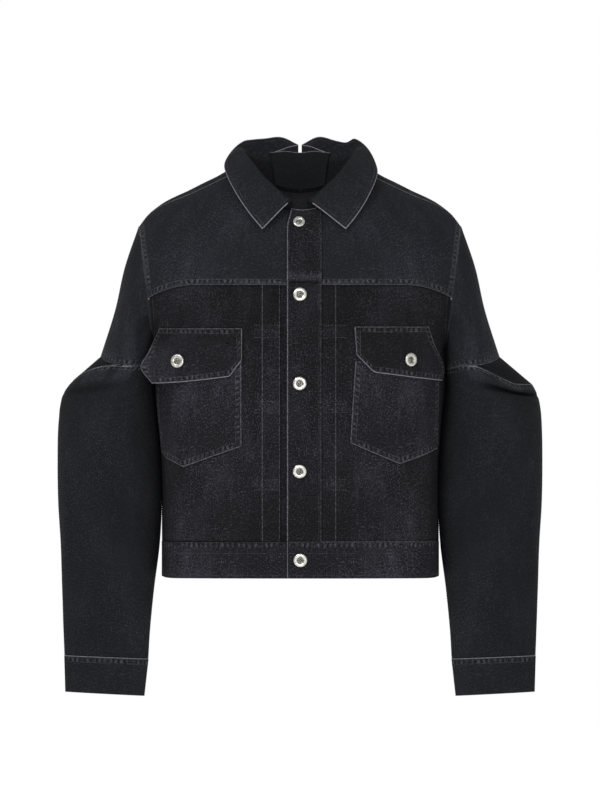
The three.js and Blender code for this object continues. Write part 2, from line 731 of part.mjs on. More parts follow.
// Collar: from the neck seam up to the roll and over to the free edge, or straight up at the back
function collarPoint(side, round, across) {
  const column = (name) => along(collarSections, 'at', round, name);
  const neck = neckPoint(1, column('neck'));
  neck.addScaledVector(bodyOutward(neck), collarRaise);
  const edgeX = column('edgeX') + (side > 0 ? column('leftOut') : 0);
  const profile = [
    { at: 0, x: neck.x, y: neck.y, z: neck.z },
    { at: 0.5, x: column('rollX'), y: column('rollY'), z: column('rollZ') },
    { at: 1, x: edgeX, y: column('edgeY'), z: column('edgeZ') },
  ];
  const value = (name) => along(profile, 'at', across, name);
  return new THREE.Vector3(side * value('x'), value('y'), value('z'));
}

function collarDirection(side, round, across) {
  const step = 0.004;
  const low = Math.max(round - step, 0);
  const high = Math.min(round + step, 1);
  const below = Math.max(across - step, 0);
  const above = Math.min(across + step, 1);
  const alongNeck = collarPoint(side, high, across).sub(collarPoint(side, low, across));
  const upCloth = collarPoint(side, round, above).sub(collarPoint(side, round, below));
  return alongNeck.cross(upCloth).normalize().multiplyScalar(side);
}

function collarHalf(side) {
  return wall(14, 8, (round, across) => {
    const direction = collarDirection(side, round, across);
    return layer(collarPoint(side, round, across), direction, -collarWall / 2, collarWall);
  });
}

function collarUnderlay() {
  const inside = -collarWall / 2 - underlay.inside;
  return wall(8, 6, (across, up) => {
    const side = across < 0.5 ? -1 : 1;
    const round = lerp(underlay.from, 1, 1 - Math.abs(2 * across - 1));
    const direction = collarDirection(side, round, up * underlay.top);
    return layer(collarPoint(side, round, up * underlay.top), direction, inside, clothWall);
  });
}

// Button, turned about its own axis with the dished face up, then seated on the cloth
function buttonGeometry(radius) {
  const size = radius / button.radius;
  const profile = [
    [0, 0], [button.back, 0], [button.radius, 1.2], [button.radius - 0.5, button.height - 0.4],
    [button.radius - 1.6, button.height], [button.radius - button.rim - 1.2, button.height - 0.5],
    [button.radius - button.rim - 2.4, button.dish], [0, button.dish],
  ].map(([across, up]) => new THREE.Vector2(across * size, up * size));
  return new THREE.LatheGeometry(profile, 14).rotateX(Math.PI / 2);
}

function seatedButton(name, radius, surface, x, z, stand) {
  const step = 3;
  const point = surface(x, z);
  const acrossCloth = surface(x + step, z).sub(surface(x - step, z));
  const upCloth = surface(x, z + step).sub(surface(x, z - step));
  const facing = acrossCloth.cross(upCloth).normalize();
  const mesh = new THREE.Mesh(buttonGeometry(radius), metal());
  mesh.name = name;
  mesh.quaternion.setFromUnitVectors(new THREE.Vector3(0, 0, 1), facing);
  mesh.position.copy(point).addScaledVector(facing, stand + buttonSeat);
  return mesh;
}

const denim = (color) => new THREE.MeshStandardMaterial({ color, roughness: 0.9, metalness: 0 });
const metal = () => new THREE.MeshStandardMaterial({ color: metalColour, roughness: 0.35, metalness: 1 });

const jacket = new THREE.Group();
jacket.name = 'denim_jacket';

function addCloth(name, geometry, color = denimColour) {
  const mesh = new THREE.Mesh(geometry, denim(color));
  mesh.name = name;
  jacket.add(mesh);
}

for (const [name, side] of [['right', -1], ['left', 1]]) {
  addCloth(`front_yoke_${name}`, frontYoke(side));
  addCloth(`front_body_${name}`, frontBody(side));
  addCloth(`waistband_front_${name}`, waistbandFront(side));
  addCloth(`pocket_${name}`, pocket(side, pockets[name]));
  addCloth(`flap_${name}`, flap(side, flaps[name]));
  addCloth(`collar_${name}`, collarHalf(side));
  addCloth(`upper_sleeve_front_${name}`, upperSleeveHalf(side, name, true), sleeveColour);
  addCloth(`upper_sleeve_back_${name}`, upperSleeveHalf(side, name, false), sleeveColour);
  addCloth(`elbow_gusset_${name}`, elbowGusset(side, name), sleeveColour);
  addCloth(`lower_sleeve_front_${name}`, lowerSleeveHalf(side, name, true), sleeveColour);
  addCloth(`lower_sleeve_back_${name}`, lowerSleeveHalf(side, name, false), sleeveColour);
  addCloth(`cuff_${name}`, cuffBand(side), sleeveColour);
}
addCloth('back_body', backBody());
addCloth('back_yoke', backYoke());
addCloth('waistband_back', waistbandBack());
addCloth('collar_underlay', collarUnderlay());
addCloth('front_placket', frontStrip(placket.right, placket.left, waistSeam + seamGap, lapGap, 4));
const underFrom = -clothWall - underPlacket.gap - doubledWall;
addCloth('under_placket', frontStrip(underPlacket.right, underPlacket.left, hem, underFrom, 4));

frontButtons.forEach(({ x, z, radius }, index) => {
  const onWaistband = z < waistSeam;
  const stand = onWaistband ? clothWall : lapGap + doubledWall;
  jacket.add(seatedButton(`front_button_${index + 1}`, radius, frontPoint, x, z, stand));
});
for (const [name, side] of [['right', -1], ['left', 1]]) {
  const { x, z } = flapButtons[name];
  const surface = (atX, atZ) => flapPoint(side, Math.abs(atX), atZ);
  const stand = flapStand.rim + clothWall;
  jacket.add(seatedButton(`flap_button_${name}`, button.radius, surface, x, z, stand));
}

export default jacket;
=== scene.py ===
import math

import bmesh
import bpy
from mathutils import Matrix, Vector


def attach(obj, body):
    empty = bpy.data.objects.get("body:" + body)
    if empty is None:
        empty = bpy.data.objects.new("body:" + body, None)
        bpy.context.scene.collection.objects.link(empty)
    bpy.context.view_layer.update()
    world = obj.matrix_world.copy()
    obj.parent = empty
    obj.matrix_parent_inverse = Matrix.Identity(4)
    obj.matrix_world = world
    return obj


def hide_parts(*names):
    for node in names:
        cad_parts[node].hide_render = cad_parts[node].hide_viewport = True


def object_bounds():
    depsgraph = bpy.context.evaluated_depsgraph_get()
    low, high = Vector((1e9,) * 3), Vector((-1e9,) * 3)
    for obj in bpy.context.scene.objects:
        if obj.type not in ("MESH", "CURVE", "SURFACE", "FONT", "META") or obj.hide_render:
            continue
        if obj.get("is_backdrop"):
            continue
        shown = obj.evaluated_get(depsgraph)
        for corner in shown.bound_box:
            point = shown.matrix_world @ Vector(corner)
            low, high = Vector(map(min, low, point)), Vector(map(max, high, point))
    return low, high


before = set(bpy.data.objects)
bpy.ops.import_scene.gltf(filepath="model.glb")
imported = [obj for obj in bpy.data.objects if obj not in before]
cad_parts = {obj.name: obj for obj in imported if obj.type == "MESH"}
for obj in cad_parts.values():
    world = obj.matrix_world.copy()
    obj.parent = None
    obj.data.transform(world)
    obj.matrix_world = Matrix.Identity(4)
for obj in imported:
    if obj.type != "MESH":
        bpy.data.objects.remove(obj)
cad_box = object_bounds()

# Studio
# A level camera straight in front, a long way off as a product photograph is taken, with large soft
# lights and a white surround. The floor lies well below the jacket, which nothing holds up.
PIXEL = 0.00145
IMAGE_HIGH = 800
VIEW_CENTRE = Vector((0, 0, -0.312))
CAMERA_AWAY = 30.0
FILM = 36.0

camera_data = bpy.data.cameras.new("camera")
camera_data.sensor_fit = "AUTO"
camera_data.sensor_width = FILM
camera_data.lens = FILM * CAMERA_AWAY / (IMAGE_HIGH * PIXEL)
camera_data.clip_end = 90
camera = bpy.data.objects.new("camera", camera_data)
camera.location = VIEW_CENTRE + Vector((0, -CAMERA_AWAY, 0))
camera.rotation_euler = (math.radians(90), 0, 0)
bpy.context.collection.objects.link(camera)
bpy.context.scene.camera = camera
bpy.context.scene.view_settings.view_transform = "Standard"


def soft_light(name, place, size, power):
    data = bpy.data.lights.new(name, "AREA")
    data.shape = "DISK"
    data.size = size
    data.energy = power
    light = bpy.data.objects.new(name, data)
    light.location = place
    light.rotation_euler = (VIEW_CENTRE - Vector(place)).to_track_quat("-Z", "Y").to_euler()
    bpy.context.collection.objects.link(light)


soft_light("key", (-1.8, -3.0, 2.2), 1.4, 95)
soft_light("fill", (2.8, -3.2, 0.6), 2.2, 20)
soft_light("front", (0.0, -4.6, 0.2), 1.0, 60)

surround = bpy.data.worlds.new("surround")
surround.use_nodes = True
surround.node_tree.nodes["Background"].inputs["Color"].default_value = (1, 1, 1, 1)
surround.node_tree.nodes["Background"].inputs["Strength"].default_value = 1.0
bpy.context.scene.world = surround

FLOOR_LEVEL = -1.02
FLOOR_HALF = 14
floor_cut = bmesh.new()
bmesh.ops.create_grid(floor_cut, x_segments=2, y_segments=2, size=FLOOR_HALF)
bmesh.ops.translate(floor_cut, verts=floor_cut.verts, vec=(0, 0, FLOOR_LEVEL))
floor_mesh = bpy.data.meshes.new("floor")
floor_cut.to_mesh(floor_mesh)
floor_cut.free()
floor = bpy.data.objects.new("floor", floor_mesh)
bpy.context.collection.objects.link(floor)
floor_paint = bpy.data.materials.new("floor_paint")
floor_paint.use_nodes = True
floor_paint.node_tree.nodes["Principled BSDF"].inputs["Base Color"].default_value = (0.93, 0.93, 0.93, 1)
floor_paint.node_tree.nodes["Principled BSDF"].inputs["Roughness"].default_value = 0.9
floor_paint.node_tree.nodes["Principled BSDF"].inputs["Emission Color"].default_value = (1, 1, 1, 1)
floor_paint.node_tree.nodes["Principled BSDF"].inputs["Emission Strength"].default_value = 0.6
floor_mesh.materials.append(floor_paint)
floor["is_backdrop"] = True

# Washed black denim
# A twill of black warp and grey weft, washed until it is charcoal with a salt-and-pepper grain that
# runs down each piece, and rubbed pale at its folded edges and along its puckered seams. Painted
# shade darkens the hollows of the puckers, a line along each seam, and the cloth wherever a piece
# sets its kept value above zero, which the pieces below use mostly for painted shade and shadow.


class Shade:
    """A shader socket that works in Python sums, and makes any other node beside itself."""

    def __init__(self, tree, socket=None):
        self.tree = tree
        self.socket = socket

    def node(self, kind, sockets, out=0, **settings):
        made = self.tree.nodes.new(kind)
        for name, value in settings.items():
            setattr(made, name, value)
        for name, value in sockets.items():
            if isinstance(value, Shade):
                self.tree.links.new(value.socket, made.inputs[name])
            else:
                made.inputs[name].default_value = value
        return Shade(self.tree, made.outputs[out])

    def sum(self, operation, *values):
        return self.node("ShaderNodeMath", dict(enumerate(values)), operation=operation)

    def __add__(self, other):
        return self.sum("ADD", self, other)

    __radd__ = __add__

    def __mul__(self, other):
        return self.sum("MULTIPLY", self, other)

    __rmul__ = __mul__

    def __sub__(self, other):
        return self.sum("SUBTRACT", self, other)

    def __rsub__(self, other):
        return self.sum("SUBTRACT", other, self)

    def fade(self, low, high, start=0.0, end=1.0):
        ends = {"Value": self, "From Min": low, "From Max": high, "To Min": start, "To Max": end}
        return self.node("ShaderNodeMapRange", ends, interpolation_type="SMOOTHSTEP")

    def blend(self, below, above):
        """Colours mixed by this mask."""
        return self.node("ShaderNodeMix", {0: self, 6: below, 7: above}, out=2, data_type="RGBA")

    def threads(self, cut, across, down, detail=2.0):
        """Noise stretched along the cloth: how many features to a metre across it and down it."""
        scale = {"Vector": cut, "Scale": (across, down, 1.0)}
        spread = self.node("ShaderNodeMapping", scale)
        noise = {"Vector": spread, "Scale": 1.0, "Detail": detail, "Roughness": 0.6}
        return self.node("ShaderNodeTexNoise", noise)


def grey(level, green=1.0, blue=1.28):
    return (level, level * green, level * blue, 1)


def denim(name, body, fleck, pale, rubbed):
    """Body colour, its lighter flecks, the pale of rubbed edges and how far the rubbing goes."""
    cloth = bpy.data.materials.new(name)
    cloth.use_nodes = True
    tree = cloth.node_tree
    surface = tree.nodes["Principled BSDF"]
    here = Shade(tree)
    cut = here.node("ShaderNodeUVMap", {}, uv_map="cut")
    edge, worn, seam, run, kept = (here.node("ShaderNodeAttribute", {}, out=2, attribute_name=kind)
                                   for kind in ("edge", "worn", "seam", "run", "kept"))
    by_seam = here.node("ShaderNodeCombineXYZ", {"X": run, "Y": seam})

    grain = here.threads(cut, 620, 400, 2.0)
    slub = here.threads(cut, 420, 50)
    weft = here.threads(cut, 60, 560)
    faded = here.threads(cut, 9, 6)
    flecks = grain.fade(0.50, 0.72) * 0.9 + slub.fade(0.54, 0.74) * 0.3 + weft.fade(0.56, 0.78) * 0.25
    streak = here.threads(cut, 75, 9).fade(0.32, 0.74)
    cloud = here.threads(cut, 11, 8).fade(0.36, 0.68)
    worn_field = flecks * faded.fade(0.3, 0.7, 0.5, 1.2) + streak * 0.055 + cloud * 0.14 - 0.06
    worn_field = worn_field + (0 - kept).fade(0.0, 1.5, 0.0, 1.0) * (0.35 + flecks)

    wander = here.threads(by_seam, 38, 60) * 9.0
    wave = (run * 760 + wander).sum("SINE", run * 760 + wander) * 0.5 + 0.5
    uneven = here.threads(by_seam, 60, 40).fade(0.34, 0.62)
    band = seam.fade(0.0012, 0.0034) * (1 - seam.fade(0.0072, 0.0100))
    crest = wave * uneven * band
    # Painted shade: trough darkens the hollows of the puckers, and ground a thin line along the seam itself.
    trough_shade = (1 - wave) * uneven * band
    ground = 1 - seam.fade(0.0, 0.0011)
    lit = crest * grain.fade(0.3, 0.6, 0.3, 1.0)
    broken = here.threads(by_seam, 230, 14).fade(0.41, 0.6, 0.04, 1.0)
    lip = (1 - edge.fade(0.0003, 0.0015)) * (broken + worn - broken * worn) * worn
    rub = (lit * 0.13 + lip * 0.9) * rubbed

    field = worn_field.blend(body, fleck)
    # Where kept is above zero the colour darkens towards a third of the body colour: painted shade, set per piece.
    # Below zero kept lifts the colour instead, as wear, in worn_field above.
    shade_and_wear = (kept * 0.8).blend(field, tuple(0.3 * part for part in body))
    # sunk is painted shade in the puckers' hollows and along the seam line.
    sunk = (trough_shade * 0.75 + ground * 0.5 * (1 - lip)).blend(shade_and_wear, tuple(0.25 * part for part in body))
    colour = rub.sum("MINIMUM", rub, 1.0).blend(sunk, pale)
    tree.links.new(colour.socket, surface.inputs["Base Color"])
    rough = 0.97 - flecks * 0.1
    tree.links.new(rough.socket, surface.inputs["Roughness"])
    surface.inputs["Specular IOR Level"].default_value = 0.06

    height = grain * 0.09 + slub * 0.06 + crest * 1.6
    bump = here.node("ShaderNodeBump", {"Height": height, "Strength": 1.0, "Distance": 0.0009})
    tree.links.new(bump.socket, surface.inputs["Normal"])
    return cloth


body_denim = denim("body_denim", grey(0.0047, 0.99, 1.22), grey(0.044, 0.98, 1.22), grey(0.22, 0.99, 1.13), 1.0)
yoke_denim = denim("yoke_denim", grey(0.0058, 1.04), grey(0.028, 1.04), grey(0.20, 1.0, 1.1), 1.0)
sleeve_denim = denim("sleeve_denim", grey(0.0046, 1.05), grey(0.018, 1.05), grey(0.20, 1.0, 1.1), 1.0)
# A darker copy of the denim for the collar's underlay, which sits recessed behind the pleat: painted shade.
shaded_underlay_denim = denim("shaded_underlay_denim", grey(0.0044, 1.1, 1.15), grey(0.013, 1.1, 1.15), grey(0.20, 1.0, 1.06), 0.8)
# The inner face of the back yoke gets a denim about four times paler than the black cloth really is, so that it
# reads as lit inside the neck where the lamps hardly reach: painted light.
inside_painted_light_denim = denim("inside_painted_light_denim", grey(0.022, 1.02, 1.15), grey(0.05, 1.02, 1.15), grey(0.20, 1.0, 1.06), 0.8)

# Fronts and back below the yokes
# Two fronts and one back, cut from one layer of denim and joined at the side seams. Each is a
# section of a rounded body, with the pleat beside the placket pressed into its front edge.
MM = 0.001
CLOTH = 1.6
DOUBLED = 2.6
SEAM_GAP = 0.3
LAP_GAP = 0.9

WAIST_SEAM = -516
HEM = -570
SIDE_SEAM_Y = 4
SHOULDER_TIP = {"x": 233, "z": -60}
UNDERARM = {"x": 211, "z": -235}
ARMHOLE = {"middle": -165, "front": 58, "back": 72, "turn": 62}
ARMHOLE_SLANT = (SHOULDER_TIP["x"] - UNDERARM["x"]) / (SHOULDER_TIP["z"] - UNDERARM["z"])
SQUARENESS = 2.4
BODY_SECTIONS = {
    "z": (-575, -516, -410, -340, -290, -235, -165, -140),
    "right": (199, 199, 200.5, 206.5, 211.5, 211, 220, 223),
    "left": (200, 200, 201, 206.3, 211.2, 211, 220, 223),
    "front": (-117, -119, -124, -128, -130, -129, -123, -119),
    "back": (108, 108, 107, 110, 114, 118, 120, 119),
}
YOKE_SEAM = {"z": -146, "flat_to": 150, "dip": 19, "dip_width": 70.2}

# Creases of the body: front or back, place, half length and half width, lean, and height
BODY_CREASES = (
    (-1, -170, -478, 34, 26, 0.10, 4.0), (-1, 165, -480, 34, 26, -0.10, 4.0),
    (-1, -184, -186, 26, 22, 0.30, -4.0), (-1, 184, -186, 26, 22, -0.30, -4.0),
    (-1, -197, -188, 15, 8, -0.9, -5.0), (-1, 199, -180, 16, 8, 0.8, -5.0),
    (-1, -182, -165, 12, 16, -0.5, 3.0), (-1, 190, -200, 14, 9, 1.1, 3.0),
    (-1, -125, -506, 7, 62, 0.0, 3.4), (-1, -176, -500, 9, 26, 0.0, 3.0),
    (-1, -108, -512, 5, 60, 0.0, -2.2), (-1, 150, -506, 7, 34, 0.0, 2.6),
    (-1, 176, -440, 60, 14, 0.12, 3.0), (-1, 118, -430, 46, 14, -0.25, -2.2),
    (-1, -136, -448, 46, 16, 0.3, -2.6), (-1, -96, -455, 40, 12, -0.2, 2.2),
    (-1, -172, -330, 60, 16, 0.15, 2.2), (-1, -120, -345, 46, 15, -0.2, -2.0),
    (-1, 168, -335, 56, 15, -0.18, 2.2), (-1, 112, -350, 46, 14, 0.25, -2.0),
    (-1, -120, -60, 30, 26, 0.6, 2.4), (-1, 118, -66, 34, 24, -0.6, 2.4),
    (-1, -150, -104, 26, 18, 0.9, -2.4), (-1, 152, -108, 24, 18, -0.9, -2.4),
    (-1, -92, -112, 20, 24, 0.2, 2.0), (-1, 88, -98, 20, 24, -0.3, 2.0),
    (1, -120, -440, 70, 20, 0.15, 5.0), (1, 110, -430, 70, 20, -0.15, 5.0),
    (1, -5, -470, 45, 22, 0.0, -5.0),
    (-1, -186, -452, 52, 8, 0.06, 2.4), (-1, -150, -492, 24, 7, -0.15, -1.6),
    (-1, -112, -500, 20, 8, 0.2, 1.4), (-1, -74, -470, 44, 7, 0.03, -1.3),
    (-1, 186, -455, 48, 8, -0.08, 2.4), (-1, 140, -496, 22, 8, 0.12, -1.6),
    (-1, 98, -486, 34, 7, -0.1, 1.5), (-1, 70, -440, 52, 6, 0.02, -1.0),
    (-1, -130, -172, 22, 12, 0.5, -1.8), (-1, 128, -176, 24, 12, -0.5, -1.8),
    (-1, -70, -190, 30, 9, 0.1, 1.2), (-1, 74, -194, 26, 9, -0.15, 1.2),
    (-1, -206, -300, 60, 9, -0.05, -2.0), (-1, 200, -310, 60, 9, 0.05, -2.0),
    (1, -60, -300, 90, 16, -0.12, 2.4), (1, 70, -250, 70, 14, 0.2, -2.6),
    (1, -160, -260, 60, 14, 0.25, -3.0), (1, 165, -330, 80, 12, -0.1, 2.6),
    (1, 20, -400, 60, 10, 0.1, -2.0), (1, -180, -460, 40, 10, 0.0, 2.4),
    (1, 150, -500, 24, 14, 0.1, -2.0), (1, -90, -500, 22, 12, -0.1, 2.0),
)
CREASE_FADE = {"end": 205, "width": 20}
CREASE_DEPTH = 1.6
PLEAT_HEIGHT = 1.6
PLEAT = {-1: {"start": 29, "from": 29, "to": 54.5}, 1: {"start": 12, "from": 32, "to": 51.5}}


def clamp(value, low, high):
    return max(low, min(high, value))


def mix(low, high, share):
    return low + (high - low) * share


def smooth(value):
    value = clamp(value, 0, 1)
    return value * value * (3 - 2 * value)


def along(table, key, at, column):
    """A smooth curve through one column of a table."""
    keys = table[key]
    values = table[column]
    last = len(keys) - 1
    first = 0
    while first < last - 1 and at > keys[first + 1]:
        first += 1

    def slope(row):
        low, high = max(row - 1, 0), min(row + 1, last)
        return (values[high] - values[low]) / (keys[high] - keys[low])

    span = keys[first + 1] - keys[first]
    t = clamp((at - keys[first]) / span, 0, 1)
    leave = t * (1 - t) * (1 - t) * span * slope(first)
    arrive = t * t * (t - 1) * span * slope(first + 1)
    return mix(values[first], values[first + 1], t * t * (3 - 2 * t)) + leave + arrive


def body_outward(point):
    return Vector((point.x / 215 ** 2, (point.y - SIDE_SEAM_Y) / 122 ** 2,
                   max(point.z + 150, 0) / 130 ** 2)).normalized()


def section_edge(side, face, z):
    """Where a body section ends, at the side seam or the armhole, and how far it has turned there."""
    if z <= UNDERARM["z"]:
        return along(BODY_SECTIONS, "z", z, "left" if side > 0 else "right"), SIDE_SEAM_Y, math.pi / 2
    above = z > ARMHOLE["middle"]
    reach = SHOULDER_TIP["z"] - ARMHOLE["middle"] if above else ARMHOLE["middle"] - UNDERARM["z"]
    rise = clamp((z - ARMHOLE["middle"]) / reach, -1, 1)
    depth = ARMHOLE["front"] if face < 0 else ARMHOLE["back"]
    x = UNDERARM["x"] + ARMHOLE_SLANT * (z - UNDERARM["z"])
    turn = mix(ARMHOLE["turn"], 90, 0 if above else rise * rise)
    return x, SIDE_SEAM_Y + face * depth * math.sqrt(1 - rise * rise), math.radians(turn)


def share_at(side, face, distance, z):
    x, _, turn = section_edge(side, face, z)
    return math.asin(clamp(distance / x, 0, 1) ** (SQUARENESS / 2) * math.sin(turn)) / turn


def body_crease(face, x, z):
    height = 0
    for where, centre, level, long, wide, lean, high in BODY_CREASES:
        if where != face:
            continue
        up = (z - level) / long
        across = (x - centre - lean * (z - level)) / wide
        if abs(up) < 2.5 and abs(across) < 2.5:
            height += high * math.exp(-up * up - across * across)
    return CREASE_DEPTH * height * smooth((CREASE_FADE["end"] - abs(x)) / CREASE_FADE["width"])


def body_point(side, face, share, z):
    edge_x, edge_y, edge_turn = section_edge(side, face, z)
    power = 2 / SQUARENESS
    turn = share * edge_turn
    out = (math.sin(turn) / math.sin(edge_turn)) ** power
    back = (1 - max(math.cos(turn), 0) ** power) / (1 - max(math.cos(edge_turn), 0) ** power)
    middle = along(BODY_SECTIONS, "z", z, "front" if face < 0 else "back")
    x = side * edge_x * out
    return Vector((x, mix(middle, edge_y, back) + face * body_crease(face, x, z), z))


def yoke_seam_at(distance):
    past = max(distance - YOKE_SEAM["flat_to"], 0) / YOKE_SEAM["dip_width"]
    return YOKE_SEAM["z"] - YOKE_SEAM["dip"] * past * past


def lines(length, step, marks=()):
    """Places of the grid's lines over a length, as shares of it, with lines either side of a mark.
    A mark below zero is measured from the far end."""
    count = max(2, round(length / step))
    places = {round(index / count, 5) for index in range(count + 1)}
    for mark in marks:
        centre = mark if mark >= 0 else length + mark
        for shift in (-1.1, -0.4, 0.4, 1.1):
            places.add(round(clamp((centre + shift) / length, 0, 1), 5))
    kept = []
    for place in sorted(places):
        if not kept or (place - kept[-1]) * length > 0.35:
            kept.append(place)
    kept[-1] = 1.0
    return kept


FAR = 1000.0


def sew_panel(node, across, up, place, felled="", worn=None, rubbed=None, kept=None, thick=CLOTH,
              cloth=None, inside=None, tube=False, stands_for=True):
    """A panel: a grid cut as flat cloth, laid on its surface and given its thickness. place gives the
    outer point and the outward direction for the shares across and up. felled names the edges (left,
    right, bottom, top) with a puckered seam inside them, worn tells how pale each edge is rubbed,
    rubbed gives the distance to the nearest fold inside the panel and how pale it is, and kept how
    much painted shade darkens the cloth, or below zero how much paler it is rubbed."""
    worn = worn or {}
    flat = bmesh.new()
    columns, rows = len(across), len(up)
    bmesh.ops.create_grid(flat, x_segments=columns - 1, y_segments=rows - 1, size=0.5)
    flat.loops.layers.uv.new("cut")
    flat.verts.layers.float.new("edge")
    flat.verts.layers.float.new("seam")
    flat.verts.layers.float.new("run")
    flat.verts.layers.float.new("worn")
    flat.verts.layers.float.new("kept")
    cut = flat.loops.layers.uv["cut"]
    edge, seam, run, pale, shade_and_wear = (flat.verts.layers.float[name]
                                   for name in ("edge", "seam", "run", "worn", "kept"))
    spots = {}
    folds = {}
    outs = {}
    where = {}
    for vert in flat.verts:
        column = round((vert.co.x + 0.5) * (columns - 1))
        row = round((vert.co.y + 0.5) * (rows - 1))
        point, out = place(across[column], up[row])
        spots[column, row] = point
        folds[column, row] = rubbed(across[column], up[row], point) if rubbed else (FAR, 0)
        outs[column, row] = out
        vert[shade_and_wear] = kept(across[column], up[row], point) if kept else 0.0
        where[vert] = (column, row, out)
    right = {}
    above = {}
    for row in range(rows):
        right[0, row] = 0.0
        for column in range(1, columns):
            step = (spots[column, row] - spots[column - 1, row]).length
            right[column, row] = right[column - 1, row] + step
    for column in range(columns):
        above[column, 0] = 0.0
        for row in range(1, rows):
            step = (spots[column, row] - spots[column, row - 1]).length
            above[column, row] = above[column, row - 1] + step
    outward = 0.0
    for vert, (column, row, _) in where.items():
        ends = {"L": right[column, row], "R": right[columns - 1, row] - right[column, row],
                "B": above[column, row], "T": above[column, rows - 1] - above[column, row]}
        nearest, side = min([(ends[name], name) for name in felled] or [(FAR, "B")])
        vert[seam] = nearest * MM
        vert[run] = (above if side in "LR" else right)[column, row] * MM
        if not felled:
            vert[run] = (above[column, row] + right[column, row]) * MM
        lips = [(ends[name], level) for name, level in worn.items() if name in ends]
        if "fall" in worn and up[row] < worn["fall"]:
            lips = []
        distance, level = min(lips + [folds[column, row]])
        vert[edge] = distance * MM
        vert[pale] = level
        for loop in vert.link_loops:
            loop[cut].uv = (right[column, row] * MM, above[column, row] * MM)
        vert.co = spots[column, row] * MM
    flat.normal_update()
    for vert, (_, _, out) in where.items():
        outward += vert.normal.dot(out)
    if outward < 0:
        bmesh.ops.reverse_faces(flat, faces=flat.faces)
    if tube:
        bmesh.ops.remove_doubles(flat, verts=flat.verts, dist=0.00002)
    for face in flat.faces:
        face.smooth = True
    area = sum(face.calc_area() for face in flat.faces)
    mesh = bpy.data.meshes.new(f"{node}_cloth")
    flat.to_mesh(mesh)
    flat.free()
    piece = bpy.data.objects.new(f"{node}_cloth", mesh)
    bpy.context.collection.objects.link(piece)
    wall = piece.modifiers.new("wall", "SOLIDIFY")
    wall.thickness = thick * MM
    wall.offset = -1
    mesh.materials.append(cloth or body_denim)
    if inside:
        mesh.materials.append(inside)
        wall.material_offset = 1
    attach(piece, "root")
    if stands_for:
        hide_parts(node)
    return {"spots": spots, "outs": outs, "right": right, "above": above, "columns": columns, "rows": rows}


def inset_edge(point, face, share):
    """Half of the gap at a seam, left at the side edge."""
    if share >= 1:
        if point.z < UNDERARM["z"]:
            point.y += face * SEAM_GAP / 2
        else:
            point.x -= math.copysign(SEAM_GAP / 2, point.x)
    return point


FELL = {"width": 15, "height": 1.0}
WAIST_TUCK = {"down": 3, "in": 1.2}
YOKE_TUCK = {"deep": 1.7, "high": 2.4, "up": 2, "in": 0.3}


def tuck_at_waist(point, out, rise):
    """The lower edge goes in behind the waistband."""
    if rise == 0:
        point = point - out * WAIST_TUCK["in"]
        point.z -= WAIST_TUCK["down"]
    return point


def tuck_at_yoke(point, out, rise):
    """The upper edge dips and goes in behind the yoke."""
    dip = YOKE_TUCK["deep"] * math.exp(-((1 - rise) * FRONT_HIGH / YOKE_TUCK["high"]) ** 2)
    point = point - out * dip
    if rise == 1:
        point = point - out * YOKE_TUCK["in"]
        point.z += YOKE_TUCK["up"]
    return point


def pleat_raise(side, distance):
    pleat = PLEAT[side]
    inside = smooth((pleat["to"] + 0.5 - distance) / 1.2)
    return PLEAT_HEIGHT * inside * (1 if side < 0 else smooth((distance - pleat["from"] + 1.2) / 1.6))


def front_body_distance(side, share, z):
    """Across the pleat by distance, and beyond it by the turn of the body."""
    pleat = PLEAT[side]
    if share <= 1:
        return mix(pleat["start"], pleat["to"], share)
    from_share = share_at(side, -1, pleat["to"], z)
    point = body_point(side, -1, mix(from_share, 1, share - 1), z)
    return abs(point.x)


FRONT_HIGH = 366
BARRED = {"levels": (-213, -322, -434.5), "high": 8, "to": 70, "by": 0.42}


def front_body_shade_and_wear(rise, point):
    """The whole front is darkened a little, the upper chest more with painted shade below the yoke, and
    a painted shadow line runs right under the yoke's seam; the cloth between the rows of each bar is
    rubbed paler, and the cloth within 80 mm of the centre line is darker."""
    below = (1 - rise) * FRONT_HIGH
    # Painted shade over the upper chest and a painted shadow line under the yoke's seam.
    kept = max(0.24 + 0.33 * smooth((point.z + 250) / 60), 0.95 * math.exp(-(below / 2.6) ** 2))
    near = max(math.exp(-((point.z - level) / BARRED["high"]) ** 4) for level in BARRED["levels"])
    kept -= BARRED["by"] * near * smooth((BARRED["to"] - abs(point.x)) / 8)
    # Darker within 80 mm of the centre line.
    return kept + 0.24 * smooth((80 - abs(point.x)) / 14)


def front_body(side):
    name = "right" if side < 0 else "left"
    pleat = PLEAT[side]
    strip = pleat["to"] - pleat["start"]
    pleat_marks = [] if side < 0 else [pleat["from"] - pleat["start"]]
    across = lines(strip, 2.6, pleat_marks + [-0.3])
    across += [1 + place for place in lines(205, 4.2, [-10]) if place > 0]
    up = lines(370, 4, [0, -1])

    def place(share, rise):
        level = front_body_distance(side, share, ARMHOLE["middle"])
        z = mix(WAIST_SEAM + SEAM_GAP / 2, yoke_seam_at(level) - SEAM_GAP / 2, rise)
        distance = front_body_distance(side, share, z)
        turn = 1 if share >= 2 else share_at(side, -1, distance, z)
        point = inset_edge(body_point(side, -1, turn, z), -1, 1 if share >= 2 else 0)
        out = body_outward(point)
        point = point + out * pleat_raise(side, abs(point.x))
        return tuck_at_yoke(tuck_at_waist(point, out, rise), out, rise), out

    return sew_panel(f"front_body_{name}", across, up, place, "", {} if side > 0 else {"L": 0.2},
                     lambda share, rise, point: (abs(abs(point.x) - pleat["to"]) + 0.4, 0.24),
                     lambda share, rise, point: front_body_shade_and_wear(rise, point))


fronts = {-1: front_body(-1), 1: front_body(1)}


def back_share(across):
    return (-1 if across < 0.5 else 1), abs(2 * across - 1)


